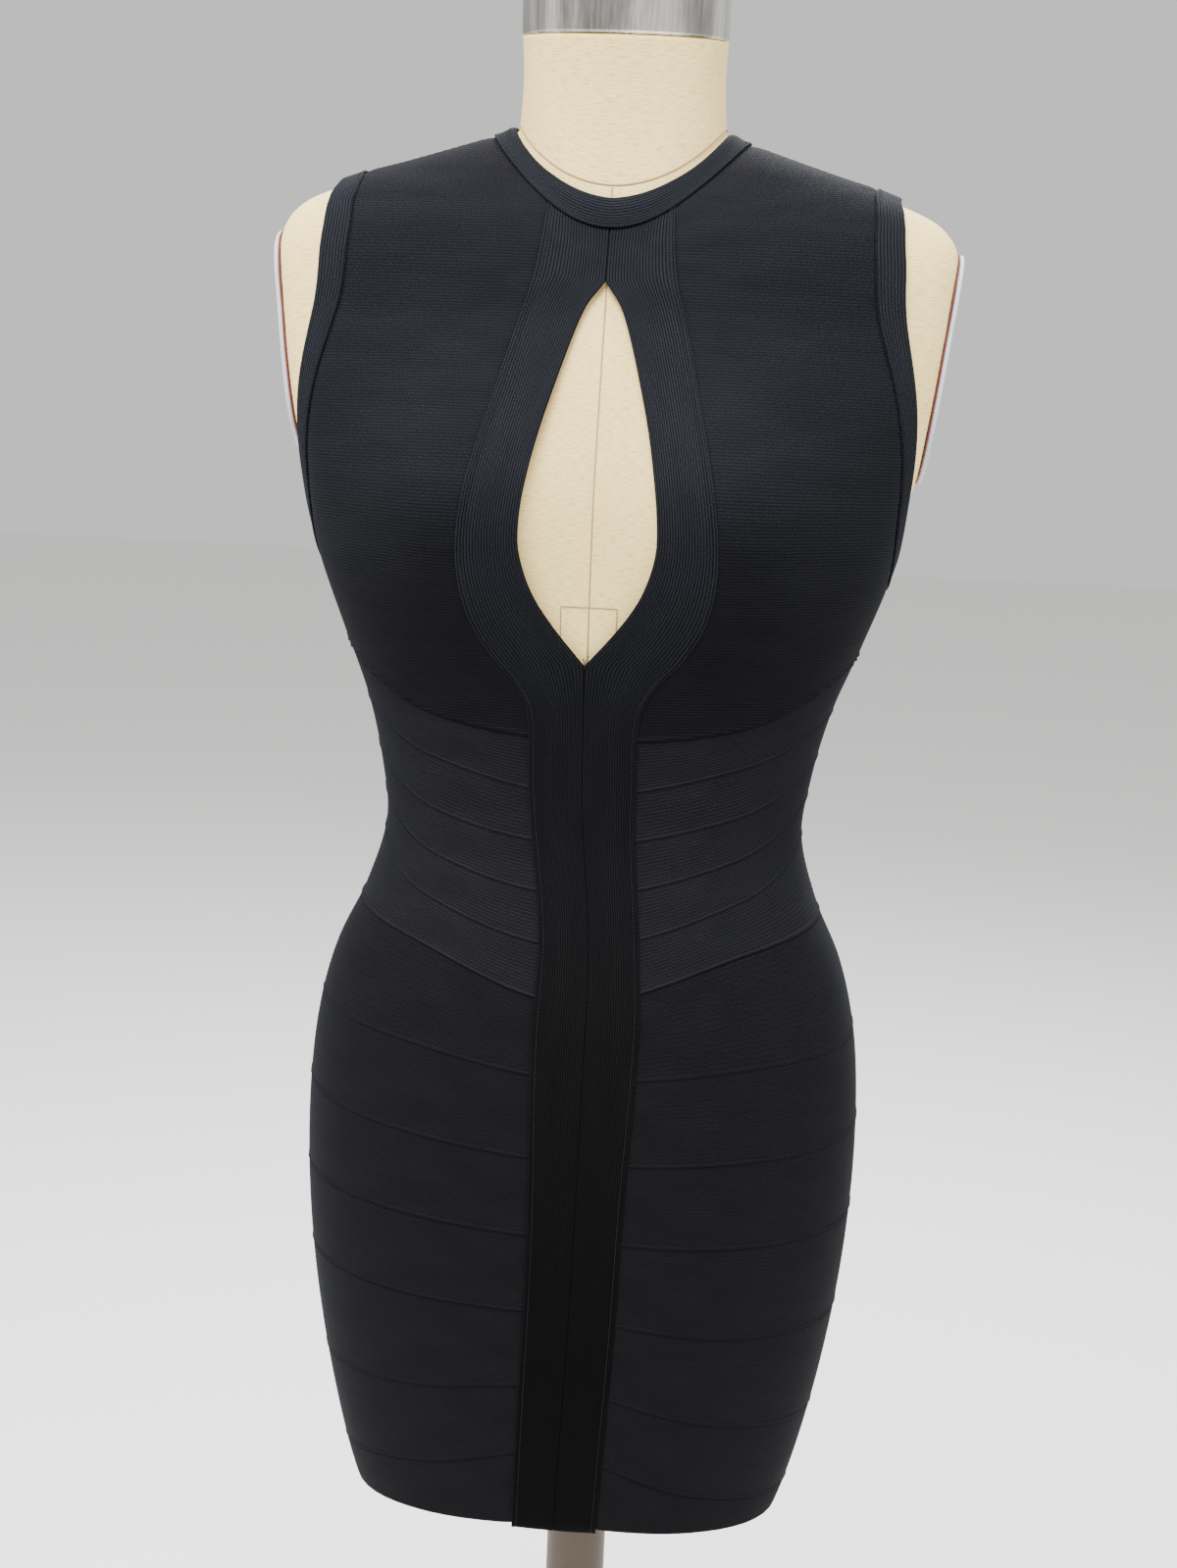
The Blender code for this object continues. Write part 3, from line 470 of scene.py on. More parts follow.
# ---------------------------------------------------------------- neck cap
# A cap spun from steel sheet with a rolled rim, and brushed upright. It is pressed on over the
# linen at the flat top of the neck and closes it.
CAP_HEIGHT = 0.032
CAP_PROUD = 0.0008
CAP_RIM = 0.0022
CAP_GAP = 0.0003            # between it and the linen's flat top


def spun(name, profile, steps=128):
    """A body turned about Z from a profile of (radius, height) points."""
    bm = bmesh.new()
    verts = [bm.verts.new((radius, 0.0, height)) for radius, height in profile]
    edges = [bm.edges.new(pair) for pair in zip(verts, verts[1:])]
    bmesh.ops.spin(bm, geom=verts + edges, cent=(0, 0, 0), axis=(0, 0, 1),
                   angle=2 * math.pi, steps=steps, use_merge=True)
    bmesh.ops.remove_doubles(bm, verts=bm.verts, dist=0.00001)
    bmesh.ops.recalc_face_normals(bm, faces=bm.faces)
    mesh = finished(bm, name)
    mesh.shade_smooth()
    mesh.set_sharp_from_angle(angle=math.radians(35))
    return mesh


def rounded(radius, height, corner, steps=6):
    """Profile points round an outer top edge, from its flat to its side."""
    return [(radius - corner + corner * math.sin(turn), height - corner + corner * math.cos(turn))
            for turn in np.linspace(0, math.pi / 2, steps + 1)]


def make_brushed_steel():
    """Stainless steel brushed upright: fine streaks of unlike gloss, and broad painted reflections."""
    material, tree, shader = start_material("brushed_steel", (0.50, 0.48, 0.45), 0.30,
                                            Metallic=1.0, Anisotropic=0.55)
    place = object_place(tree)
    streaks = stretched_noise(tree, place, (620.0, 620.0, 4.0), 3.0)
    reflection_bands = stretched_noise(tree, place, (36.0, 36.0, 0.6), 2.0)
    both = add_node(tree, "ShaderNodeMix", {0: 0.18, 2: reflection_bands, 3: streaks}).outputs[0]
    # Painted reflections: the colour runs from near black to near white in broad upright stripes, with
    # the fine streaks mixed in lightly.
    shades = colour_ramp(tree, both, ((0.36, (0.13, 0.12, 0.115)), (0.46, (0.34, 0.32, 0.30)),
                                      (0.53, (0.52, 0.50, 0.47)), (0.62, (0.88, 0.86, 0.82))))
    tree.links.new(shades, shader.inputs["Base Color"])
    gloss = add_node(tree, "ShaderNodeMapRange", {"Value": streaks, "To Min": 0.20, "To Max": 0.40})
    tree.links.new(gloss.outputs[0], shader.inputs["Roughness"])
    add_bump(tree, shader, streaks, 0.00004)
    return material


STEEL = make_brushed_steel()
cap_radius = NECK_HALF_WIDTH + CAP_PROUD
cap_outer = rounded(cap_radius, CAP_HEIGHT / 2, CAP_RIM)
cap_profile = ([(0.0, CAP_HEIGHT / 2), (cap_radius * 0.6, CAP_HEIGHT / 2)] + cap_outer
               + [(radius, -height) for radius, height in cap_outer[::-1]]
               + [(0.0, -CAP_HEIGHT / 2)])
cap_lean = math.radians(NECK_CAP_TILT)
cap_lift = CAP_HEIGHT / 2 + CAP_GAP
cap_mesh = spun("cap", cap_profile)
cap_stretch = (NECK_HALF_DEPTH / math.cos(cap_lean) + CAP_PROUD) / cap_radius
cap_centre = in_frame(np.array([0.0, NECK_CENTRE_Y - cap_lift * math.sin(cap_lean),
                                NECK_TOP + cap_lift * math.cos(cap_lean)]))
cap_mesh.transform(Matrix.Translation(cap_centre) @ Matrix.Rotation(cap_lean, 4, "X")
                   @ Matrix.Diagonal((1.0, cap_stretch, 1.0, 1.0)))
add_piece(cap_mesh, "steel_neck_cap", STEEL, ["neck_cap"])

# ---------------------------------------------------------------- arm plates and their piping
# Enamelled plates, cut to the arms' own outline, close their flat ends. A thin dark red cord lies
# in the joint between each plate and the linen.
SIDES = ((1, "left"), (-1, "right"))        # the wearer's
PLATE_CENTRE_Y = 0.004
PLATE_CENTRE_HEIGHT = 0.679
PLATE_RIM = 0.0015
PLATE_PROUD = 0.0008        # past the linen's cut edge
PLATE_ANGLES = (50, 135)    # where the cut lies, in degrees, and in levels
PLATE_LEVELS = (0.57, 0.82)
PLATE_SECTORS = 72
PLATE_HARMONICS = 7         # kept of the outline, so that it is smooth
PIPING_RADIUS = 0.0006


def make_enamel(name, colour, roughness, mottle=0.04):
    """Sprayed enamel with a faint orange-peel skin and slight wear in its tone."""
    material, tree, shader = start_material(name, colour, roughness, Specular_IOR_Level=0.25)
    place = object_place(tree)
    tone = stretched_noise(tree, place, (14.0, 14.0, 14.0), 3.0)
    darker = tuple(channel * (1 - 3 * mottle) for channel in colour)
    lighter = tuple(min(1.0, channel * (1 + mottle)) for channel in colour)
    shades = colour_ramp(tree, tone, ((0.30, darker), (0.70, lighter)))
    tree.links.new(shades, shader.inputs["Base Color"])
    peel = stretched_noise(tree, place, (420.0, 420.0, 420.0), 1.0)
    add_bump(tree, shader, peel, 0.00005)
    return material


PLATE_ENAMEL = make_enamel("plate_enamel", (0.47, 0.50, 0.53), 0.45)
PIPING_RED = start_material("piping_red", (0.12, 0.016, 0.014), 0.6)[0]


def cut_outline():
    """Radius, in each sector round the plate's centre, of the flat that the arm is cut to."""
    angle, level = np.meshgrid(np.radians(np.linspace(*PLATE_ANGLES, 300)),
                               np.linspace(*PLATE_LEVELS, 300))
    x, y, height = surface(angle.ravel(), level.ravel()).T
    is_cut = x > cut_face_x(height)
    y = y[is_cut] - PLATE_CENTRE_Y
    rise = (height[is_cut] - PLATE_CENTRE_HEIGHT) / math.cos(math.radians(PLATE_TILT))
    sector = np.round(np.arctan2(rise, y) / (2 * math.pi) * PLATE_SECTORS).astype(int)
    reach = np.hypot(y, rise)
    radius = np.array([reach[sector % PLATE_SECTORS == number].max()
                       for number in range(PLATE_SECTORS)])
    return np.fft.irfft(np.fft.rfft(radius)[:PLATE_HARMONICS], PLATE_SECTORS)


plate_radius = cut_outline()
# Rings of a plate: share of its radius, distance in from its rim, and distance out.
plate_rings = [(0.0, 0.0, PLATE_THICKNESS / 2), (0.5, 0.0, PLATE_THICKNESS / 2)]
plate_rings += [(1.0, -reach, out) for reach, out in rounded(0.0, PLATE_THICKNESS / 2, PLATE_RIM)]
plate_rings = np.array(plate_rings + [(share, inset, -out)
                                      for share, inset, out in plate_rings[::-1]])


def plate_points(side, turn, radius, out):
    """Points at a turn and a radius round a plate's centre, and out from its middle."""
    rise, y = radius * np.sin(turn), radius * np.cos(turn)
    lean = math.radians(PLATE_TILT)
    x = (plate_face_x(PLATE_CENTRE_HEIGHT) - PLATE_THICKNESS / 2 + rise * math.sin(lean)
         + out * math.cos(lean))
    height = PLATE_CENTRE_HEIGHT + rise * math.cos(lean) - out * math.sin(lean)
    return in_frame(np.stack([side * x, PLATE_CENTRE_Y + y, height], axis=-1))


def rim_radius(turn):
    """Radius of the plate's rim at a turn."""
    return PLATE_PROUD + np.interp(turn, np.linspace(0.0, 2 * math.pi, PLATE_SECTORS + 1),
                                   np.append(plate_radius, plate_radius[0]))


def plate_place(side, turn, ring):
    """A plate from the middle of its outer face round its rim to the middle of its inner one."""
    share, inset, out = plate_rings[ring].T
    points = plate_points(side, turn, rim_radius(turn) * share - inset, out)
    return points, points[:, 1:]


for side, side_name in SIDES:
    turns = np.linspace(0, 2 * math.pi, 145)
    plate_mesh = grid_mesh("plate", turns, np.arange(len(plate_rings)), partial(plate_place, side))
    add_piece(weld(plate_mesh), "enamelled_arm_plate_" + side_name, PLATE_ENAMEL,
              ["arm_plate_" + side_name])
    ring = plate_points(side, turns[:-1], rim_radius(turns[:-1]), -PLATE_THICKNESS / 2)
    add_piece(tube_along("piping", ring, PIPING_RADIUS, closed=True), "red_piping_" + side_name,
              PIPING_RED)

# ---------------------------------------------------------------- pole and base
# A powder-coated steel tube stands in the hub of a heavy cast base, and its top end goes up into
# the form.
POLE_RADIUS = 0.018
BASE_RADIUS = 0.210
BASE_THICKNESS = 0.010
BASE_EDGE = 0.006
BASE_FOOT = 0.0015          # chamfer of its lower edge
HUB_RADIUS = 0.032
HUB_HEIGHT = 0.040
HUB_EDGE = 0.004
HUB_FILLET = 0.014
POLE_EDGE = 0.001
pole_low, pole_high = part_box("pole")
POLE_ENAMEL = make_enamel("pole_enamel", (0.090, 0.064, 0.046), 0.50, 0.05)
pole_mesh = spun("pole", [(0.0, pole_high.z), (POLE_RADIUS - POLE_EDGE, pole_high.z),
                          (POLE_RADIUS, pole_high.z - POLE_EDGE), (POLE_RADIUS, pole_low.z),
                          (0.0, pole_low.z)], steps=96)
add_piece(pole_mesh, "steel_pole", POLE_ENAMEL, ["pole"])
fillet = [(HUB_RADIUS + HUB_FILLET * (1 - math.cos(turn)),
           BASE_THICKNESS + HUB_FILLET * (1 - math.sin(turn)))
          for turn in np.linspace(0, math.pi / 2, 7)]
base_profile = ([(0.0, HUB_HEIGHT)] + rounded(HUB_RADIUS, HUB_HEIGHT, HUB_EDGE, 5) + fillet
                + rounded(BASE_RADIUS, BASE_THICKNESS, BASE_EDGE)
                + [(BASE_RADIUS, BASE_FOOT), (BASE_RADIUS - BASE_FOOT, 0.0), (0.0, 0.0)])
base_mesh = spun("base", base_profile, steps=160)
add_piece(base_mesh, "cast_base", POLE_ENAMEL, ["base_plate"])

# ---------------------------------------------------------------- front strips
# Two long strips of heavy rib knit, ribs lengthwise, from the neckband to the hem. They are sewn
# edge to edge but for the keyhole, whose edges are finished, and each laps over the pieces beside
# it and is linked to them by a row of stitches.
BUST_BRIDGE = 0.5
CLOTH_OUT = 0.0039          # outer face of the cloth over the linen
CLOTH_WALL = 0.0011
RIB_DEPTH = 0.00048
RIB_SAMPLES = 3             # grid lines to a rib: two on its back and one in the groove
LAP = 0.0010                # how far a lapping edge goes past its seam
LAP_RISE = 0.0006
TUCK = 0.0008               # how far a tucked edge goes past its seam, under its neighbour
TUCK_DROP = 0.0012
# Painted shade: the strips' colour is darkened towards the hem, by height over it, for the lower strips
# lying in less light.
STRIP_PAINTED_SHADE = ((0.10, (0.16, 0.14, 0.12)), (0.30, (0.35, 0.33, 0.28)),
                (0.48, (0.50, 0.48, 0.44)), (0.555, (1.0, 1.0, 1.0)))
NECKBAND_BOTTOM = 0.835
STRETCH = 1.08              # the worn cloth is this much larger than its cut each way
STRIP_HEM = -0.0055         # the strips hang a little lower than the bands beside them
CENTRE_LINE = ((-0.05, -0.0020), (0.05, 0.0020), (0.15, 0.0060), (0.28, 0.0080), (0.35, 0.0075),
               (0.42, 0.0005), (0.48, -0.0010), (0.60, -0.0010), (0.84, 0.0000))
STRIP_EDGE = ((-0.050, 0.0230), (0.100, 0.0245), (0.200, 0.0252), (0.300, 0.0280), (0.360, 0.0260),
              (0.440, 0.0280), (0.480, 0.0295), (0.4975, 0.0380), (0.5125, 0.0510), (0.535, 0.0630),
              (0.565, 0.0678), (0.600, 0.0645), (0.650, 0.0528), (0.700, 0.0405), (0.740, 0.0360),
              (0.840, 0.0330))
SEAM_OVERLAP = 0.0002       # two edges sewn together press into each other by this much
KEYHOLE_BOTTOM = 0.507
KEYHOLE_TOP = 0.731
KEYHOLE = ((KEYHOLE_BOTTOM, 0.0), (0.5275, 0.0170), (0.545, 0.0285), (0.562, 0.0350),
           (0.576, 0.0372), (0.600, 0.0352), (0.640, 0.0268), (0.690, 0.0118), (KEYHOLE_TOP, 0.0))
STRIP_RIBS = 22
STRIP_RELIEF = 0.70         # of RIB_DEPTH, as these ribs are fine
STRIP_END = 0.030           # length of a strip above the keyhole that goes down to its tuck
KEYHOLE_ROLL = (0.0007, 0.0010)     # drop and width of an edge folded round the keyhole
HEM_DROP = 0.0004
LEVELS = np.linspace(-0.05, NECK_SEAM, 900)     # where the lines on the surface are read


def spanned(angle, level):
    """The surface that the cloth follows, drawn taut between the breasts."""
    return surface(angle, level, BUST_BRIDGE)


def cloth_at(angle, level, out):
    """Points of the cloth: out from the linen along the surface's normal, in the floor's frame."""
    step = 0.004
    around = spanned(angle + step, level) - spanned(angle - step, level)
    up = spanned(angle, level + step) - spanned(angle, level - step)
    normal = np.cross(around, up)
    normal /= np.linalg.norm(normal, axis=-1, keepdims=True)
    out = np.broadcast_to(out, normal.shape[:-1])
    return in_frame(spanned(angle, level) + out[..., None] * normal)


def bisected(low, high, shape, is_above, steps):
    """The two ends, drawn together round an array of places: is_above tests which lie above."""
    low, high = np.full(shape, low), np.full(shape, high)
    for _ in range(steps):
        middle = (low + high) / 2
        above = is_above(middle)
        low, high = np.where(above, middle, low), np.where(above, high, middle)
    return low, high


def angles_at_x(x, at_back=False):
    """At each of LEVELS, the angle at which the surface is x from the axis."""
    start = math.pi / 2 if at_back else 0.0
    low, _ = bisected(start, start + math.pi / 2, LEVELS.shape,
                      lambda angle: (spanned(angle, LEVELS)[:, 0] > np.abs(x)) == at_back, 26)
    return np.copysign(low, x)


def table_at(table, level):
    """The smooth curve through a table of (place, value)."""
    places, values = zip(*table)
    return smooth_value(places, values, level)


def shift(side, level, distance):
    """The angle that a distance along the cloth takes up near centre front."""
    return side * distance / section(FRONT_DEPTH, level)


def neckline(angle, distance):
    """Level at a distance above the neckband's lower seam (below it where negative)."""
    step = 0.004 * (1 if distance > 0 else -1)
    apart = np.linalg.norm(spanned(angle, NECKBAND_BOTTOM + step)
                           - spanned(angle, NECKBAND_BOTTOM), axis=-1)
    return NECKBAND_BOTTOM + step * abs(distance) / apart


centre_x = table_at(CENTRE_LINE, LEVELS)
keyhole_half = np.where((LEVELS > KEYHOLE_BOTTOM) & (LEVELS < KEYHOLE_TOP),
                        table_at(KEYHOLE, LEVELS), 0.0) - SEAM_OVERLAP
STRIP_OUTER = {side: angles_at_x(centre_x + side * table_at(STRIP_EDGE, LEVELS))
               for side in (1, -1)}
STRIP_INNER = {side: angles_at_x(centre_x + side * keyhole_half) for side in (1, -1)}


def on_line(angles, level):
    """A line's value at a level, from its values at LEVELS."""
    return np.interp(level, LEVELS, angles)


def rib(count):
    """Height of ribs that are round on top and meet in narrow grooves, for a count of ribs."""
    return RIB_DEPTH * (np.abs(np.cos(math.pi * count)) ** 0.7 - 0.6)


def rib_count(share, ribs):
    """Ribs passed at a share of the way across, so that a grid line lies in every groove."""
    return share * ribs + 0.5 / RIB_SAMPLES


def soft_step(value):
    """0 up to 0, 1 from 1 on, and smooth between."""
    value = np.clip(value, 0.0, 1.0)
    return value * value * (3 - 2 * value)


def lapped(distance, rise=LAP_RISE, width=0.0022):
    """Extra height of a lapping edge: a welt along it that turns down at its very end."""
    return rise * soft_step(1 - distance / width) - 0.9 * rise * soft_step(1 - distance / 0.0006)


def tucked(distance, width=0.0040):
    """Drop of an edge that goes in under its neighbour."""
    return -TUCK_DROP * soft_step(1 - distance / width)


def rolled(distance, drop=0.0005, width=0.0009):
    """Drop of a folded edge that nothing is sewn to."""
    return -drop * soft_step(1 - distance / width)


def make_knit(name, colour, bright, groove=0.32, shades=()):
    """Fine viscose knit: painted shade in the grooves between its ribs, loops along them, a short nap,
    and a cool sheen. Its lay counts metres along a rib and ribs across them. shades darken it by the
    height over the hem: painted shade."""
    material, tree, shader = start_material(name, colour, 0.82, Sheen_Weight=0.016,
                                            Sheen_Roughness=0.40, Specular_IOR_Level=0.045)
    shader.inputs["Sheen Tint"].default_value = (0.66, 0.72, 0.92, 1.0)
    lay = lay_of(tree)
    loops = stretched_noise(tree, lay, (1500.0, 2.0, 1.0), 1.0)
    nap = stretched_noise(tree, lay, (2600.0, 5.5, 1.0), 0.0)
    cloudy = stretched_noise(tree, lay, (26.0, 0.13, 1.0), 3.0)
    fuzz = add_node(tree, "ShaderNodeMix", {0: 0.40, 2: loops, 3: nap})
    darker = tuple(channel * 0.62 for channel in colour)
    grain = colour_ramp(tree, fuzz.outputs[0], ((0.34, darker), (0.50, colour), (0.68, bright)))
    # Painted shade: groove sets how dark the colour is made in the grooves between the ribs, on top of
    # the shade from the ribs' modelled relief.
    across = add_node(tree, "ShaderNodeSeparateXYZ", {0: lay}).outputs[1]
    wave = maths(tree, "COSINE", maths(tree, "MULTIPLY", across, 2 * math.pi))
    crest = maths(tree, "MULTIPLY_ADD", wave, 0.5, 0.5)
    tones_and_painted_shade = [colour_ramp(tree, cloudy, ((0.35, (0.82, 0.82, 0.84)), (0.68, (1.0, 1.0, 1.0)))),
             colour_ramp(tree, crest, ((0.0, (groove,) * 3), (0.55, (0.92,) * 3),
                                       (1.0, (1.0,) * 3)))]
    # Painted shade, darker by height over the hem.
    if shades:
        upward = add_node(tree, "ShaderNodeSeparateXYZ", {0: object_place(tree)}).outputs[2]
        tones_and_painted_shade.append(colour_ramp(tree, maths(tree, "SUBTRACT", upward, HEM_HEIGHT), shades))
    tree.links.new(multiply_colours(tree, grain, *tones_and_painted_shade), shader.inputs["Base Color"])
    add_bump(tree, shader, loops, 0.00016)
    return material


def cut_size(across, along, place, stretch):
    """Length, width and area of the flat cut: the worn grid's sizes less the stretch."""
    columns, rows = np.meshgrid(across, along)
    points, _ = place(columns.ravel(), rows.ravel())
    points = points.reshape(*columns.shape, 3)
    wide = np.linalg.norm(np.diff(points, axis=1), axis=-1)
    tall = np.linalg.norm(np.diff(points, axis=0), axis=-1)
    cell = wide[:-1] * tall[:, :-1]
    width, length = wide.sum(axis=1).max(), tall.sum(axis=0).max()
    return width / stretch, length / stretch, cell.sum() / stretch ** 2


def knit_piece(name, node, material, across, along, place, relief, wall=CLOTH_WALL,
               stretch=STRETCH):
    """A sewn piece: its ribbed outer face, closed by a wall.
    place takes the ribs' relief first, and the cut is measured without it."""
    width, length, area = cut_size(across, along, partial(place, 0.0), stretch)
    mesh = weld(grid_mesh(name, across, along, partial(place, relief)), closed=False)
    piece = add_piece(mesh, name, material, [node])
    solidify = piece.modifiers.new("wall", "SOLIDIFY")
    solidify.thickness = wall
    solidify.offset = -1.0
    return piece


def samples(ribs):
    """Grid lines across a number of ribs."""
    return np.linspace(0.0, 1.0, ribs * RIB_SAMPLES + 1)


def crowded(start, end, count):
    """Values that crowd at both ends, as a rounded edge needs."""
    return start + (end - start) * (1 - np.cos(np.linspace(0, math.pi, count))) / 2


def strip_place(side, relief, across, row):
    """A front strip; across runs from its inner edge (0) to its outer (1), and a row above
    KEYHOLE_TOP counts from 0 to 1 up to the neckband."""
    to_top = np.clip(row - KEYHOLE_TOP, 0.0, 1.0)
    level = np.minimum(row, KEYHOLE_TOP) + to_top * (NECKBAND_BOTTOM - KEYHOLE_TOP)
    inner = on_line(STRIP_INNER[side], level)
    outer = on_line(STRIP_OUTER[side], level) + shift(side, level, LAP)
    angle = inner + (outer - inner) * across
    wide = table_at(STRIP_EDGE, level) - on_line(keyhole_half, level)
    top = neckline(angle, TUCK)
    level = np.where(to_top > 0, KEYHOLE_TOP + to_top * (top - KEYHOLE_TOP), level)
    count = rib_count(across, STRIP_RIBS)
    out = (CLOTH_OUT + relief * rib(count) + lapped((1 - across) * wide + 1e-9)
           + rolled(across * wide, *KEYHOLE_ROLL) + rolled(level - STRIP_HEM, HEM_DROP)
           + np.where(to_top > 0, tucked((1 - to_top) * STRIP_END), 0.0))
    return cloth_at(angle, level, out), np.stack([level, count], axis=-1)


STRIP_KNIT = make_knit("strip_knit", (0.0105, 0.0114, 0.0150), (0.0255, 0.0270, 0.0335),
                       groove=0.14, shades=STRIP_PAINTED_SHADE)
strip_rows = np.concatenate([
    np.linspace(STRIP_HEM, KEYHOLE_BOTTOM, 80)[:-1],
    crowded(KEYHOLE_BOTTOM, KEYHOLE_TOP, 69)[:-1],
    KEYHOLE_TOP + np.linspace(0.0, 1.0, 14)])
for side, side_name in SIDES:
    knit_piece("ribbed_front_strip_" + side_name, "front_strip_" + side_name, STRIP_KNIT,
               samples(STRIP_RIBS)[::side], strip_rows,
               partial(strip_place, side), STRIP_RELIEF)

# ---------------------------------------------------------------- bodice fronts and backs
# Four panels of finer rib knit whose ribs run level round the chest. Each is sewn at the shoulder
# and the side, goes in under the strip or beside the zip, under the neckband and under the
# armhole's binding, and laps over the top waist band in a bold welt.
ARMHOLE_LOW = 0.562
ARMHOLE_HIGH = 0.777
ARMHOLE_FRONT = 20.0        # widest reach from the side, in degrees
ARMHOLE_BACK = 23.0
ARMHOLE = (                 # degrees round it from its foot, and share of its widest reach
    (0, 0.0), (20, 0.33), (46, 0.66), (60, 0.78), (72, 0.87), (85, 0.945), (97, 0.985), (110, 1.0),
    (122, 0.97), (131, 0.92), (140, 0.84), (147, 0.76), (165, 0.45), (180, 0.0))
BINDING_LEVELS = 0.014      # its depth at the armhole's foot, and over the shoulder
BINDING_TOP_LEVELS = 0.009
BINDING_ANGLE = 3.9
CLOTH_TO_ZIP = 0.0070
ARM_TUCK = 0.84             # where the cloth's edge lies under the binding
ARM_TUCK_WIDTH = 0.0060
ARM_RADIUS = 0.175          # of the cloth's turn beside the armhole
BODICE_PITCH = 0.0017
BODICE_COLUMNS = 22
BODICE_WIDTH = 0.15
BODICE_FOOT = 0.40          # a level below all of it
MID_FRONT = 52.0            # where its rows are spaced, in degrees
MID_BACK = 130.0
BODICE_RELIEF = (0.75, 0.45)    # of RIB_DEPTH, under the bust and over the chest
# Painted shade: the bodice's colour is darkened below the bust, by height over the hem, where the light
# from above falls less.
BODICE_PAINTED_SHADE = ((0.46, (0.55, 0.54, 0.50)), (0.53, (0.68, 0.67, 0.64)), (0.60, (1.0, 1.0, 1.0)))
CLOTH_TO_LEVEL = ((0.5, 1.0), (0.69, 0.7), (0.75, 0.5), (0.86, 0.6))    # length to one of level
BOLD_RISE = 0.0012
BOLD_WIDTH = 0.0032
CALM_WIDTH = 0.002          # beside a seam, where the ribs are pressed down
SIDE_ROLL = (0.0005, 0.0010)
ZIP_ROLL = (0.0006, 0.0012)
SEAMS = {
    # height at centre front, at 50 and 90 degrees on the right and left, and at centre back
    "underbust": (0.467, 0.476, 0.511, 0.476, 0.511, 0.500),
    "waist_1": (0.435, 0.450, 0.478, 0.452, 0.478, 0.464),
    "waist_2": (0.407, 0.419, 0.450, 0.423, 0.451, 0.436),
    "waist_3": (0.379, 0.394, 0.424, 0.398, 0.427, 0.408),
    "waist_4": (0.351, 0.371, 0.399, 0.375, 0.402, 0.380),
    "hip": (0.321, 0.346, 0.354, 0.347, 0.355, 0.346),
    "skirt_1": (0.279, 0.291, 0.296, 0.285, 0.289, 0.294),
    "skirt_2": (0.2325, 0.2400, 0.2460, 0.2320, 0.2350, 0.2440),
    "skirt_3": (0.187, 0.191, 0.193, 0.181, 0.181, 0.191),
    "skirt_4": (0.140, 0.141, 0.142, 0.124, 0.121, 0.139),
    "skirt_5": (0.0935, 0.0810, 0.0740, 0.0670, 0.0560, 0.0780),
    "skirt_6": (0.049, 0.029, 0.015, 0.018, 0.006, 0.030),
    "hem": (-0.002, -0.007, -0.012, -0.008, -0.013, -0.006),
}
ZIP_EDGE = {side: angles_at_x(side * np.full(LEVELS.shape, CLOTH_TO_ZIP), at_back=True)
            for side in (1, -1)}


def seam_level(name, angle):
    """Level of a seam at an angle round the body."""
    front, right_50, right_side, left_50, left_side, back = SEAMS[name]
    heights = (back, right_side, right_50, front, left_50, left_side, back)
    return smooth_value((-180, -90, -50, 0, 50, 90, 180), heights, np.degrees(angle))


def armhole_line(turn, grow):
    """Angle and level round an armhole, from its foot up the front and down the back; grow is 0
    at its edge and 1 at the binding's seam."""
    low, high = ARMHOLE_LOW - grow * BINDING_LEVELS, ARMHOLE_HIGH + grow * BINDING_TOP_LEVELS
    level = low + (high - low) * (1 - np.cos(turn)) / 2
    in_front = turn < math.pi
    reach = table_at(ARMHOLE, np.degrees(np.where(in_front, turn, 2 * math.pi - turn)))
    degrees = np.where(in_front, -(ARMHOLE_FRONT + grow * BINDING_ANGLE) * reach,
                       (ARMHOLE_BACK + grow * BINDING_ANGLE) * reach)
    return np.radians(90 + degrees), level


def cloth_radius(angle, level):
    """Distance along the cloth for each radian round the body."""
    step = 0.01
    apart = np.linalg.norm(spanned(angle + step, level) - spanned(angle - step, level), axis=-1)
    return apart / (2 * step)


def armhole_distance(angle, level):
    """Distance outside the cloth's edge under the binding."""
    line_angle, line_level = armhole_line(np.linspace(0, 2 * math.pi, 241), ARM_TUCK)
    distance = np.full(angle.shape, 1.0)
    near = (np.abs(np.abs(angle) - math.pi / 2) < 0.65) & (level > ARMHOLE_LOW - 0.03)
    across = (np.abs(angle[near])[:, None] - line_angle) * ARM_RADIUS
    distance[near] = np.hypot(across, level[near][:, None] - line_level).min(axis=1)
    return distance


def level_at(angle, height):
    """Level of the surface at an angle and a height."""
    low, high = bisected(BODICE_FOOT, NECK_SEAM, angle.shape,
                         lambda level: height_at(angle, level) < height, 22)
    return (low + high) / 2


def bodice_side(at_front, height):
    """Angle of a panel's outer edge at a height: up the side seam, the armhole and the shoulder."""
    turns = np.linspace(0, math.pi, 240)
    arm_angles, arm_levels = armhole_line(turns if at_front else 2 * math.pi - turns, ARM_TUCK)
    below = np.linspace(BODICE_FOOT, arm_levels[0], 80)[:-1]
    above = np.linspace(arm_levels[-1], NECK_SEAM, 80)[1:]
    levels = np.concatenate([below, arm_levels, above])
    angles = np.concatenate([np.full_like(below, math.pi / 2), arm_angles,
                             np.full_like(above, math.pi / 2)])
    return np.interp(height, np.maximum.accumulate(height_at(angles, levels)), angles)


def path_lengths(path):
    """Distance along a path at each of its points."""
    return np.concatenate([[0.0], np.cumsum(np.linalg.norm(np.diff(path, axis=0), axis=1))])


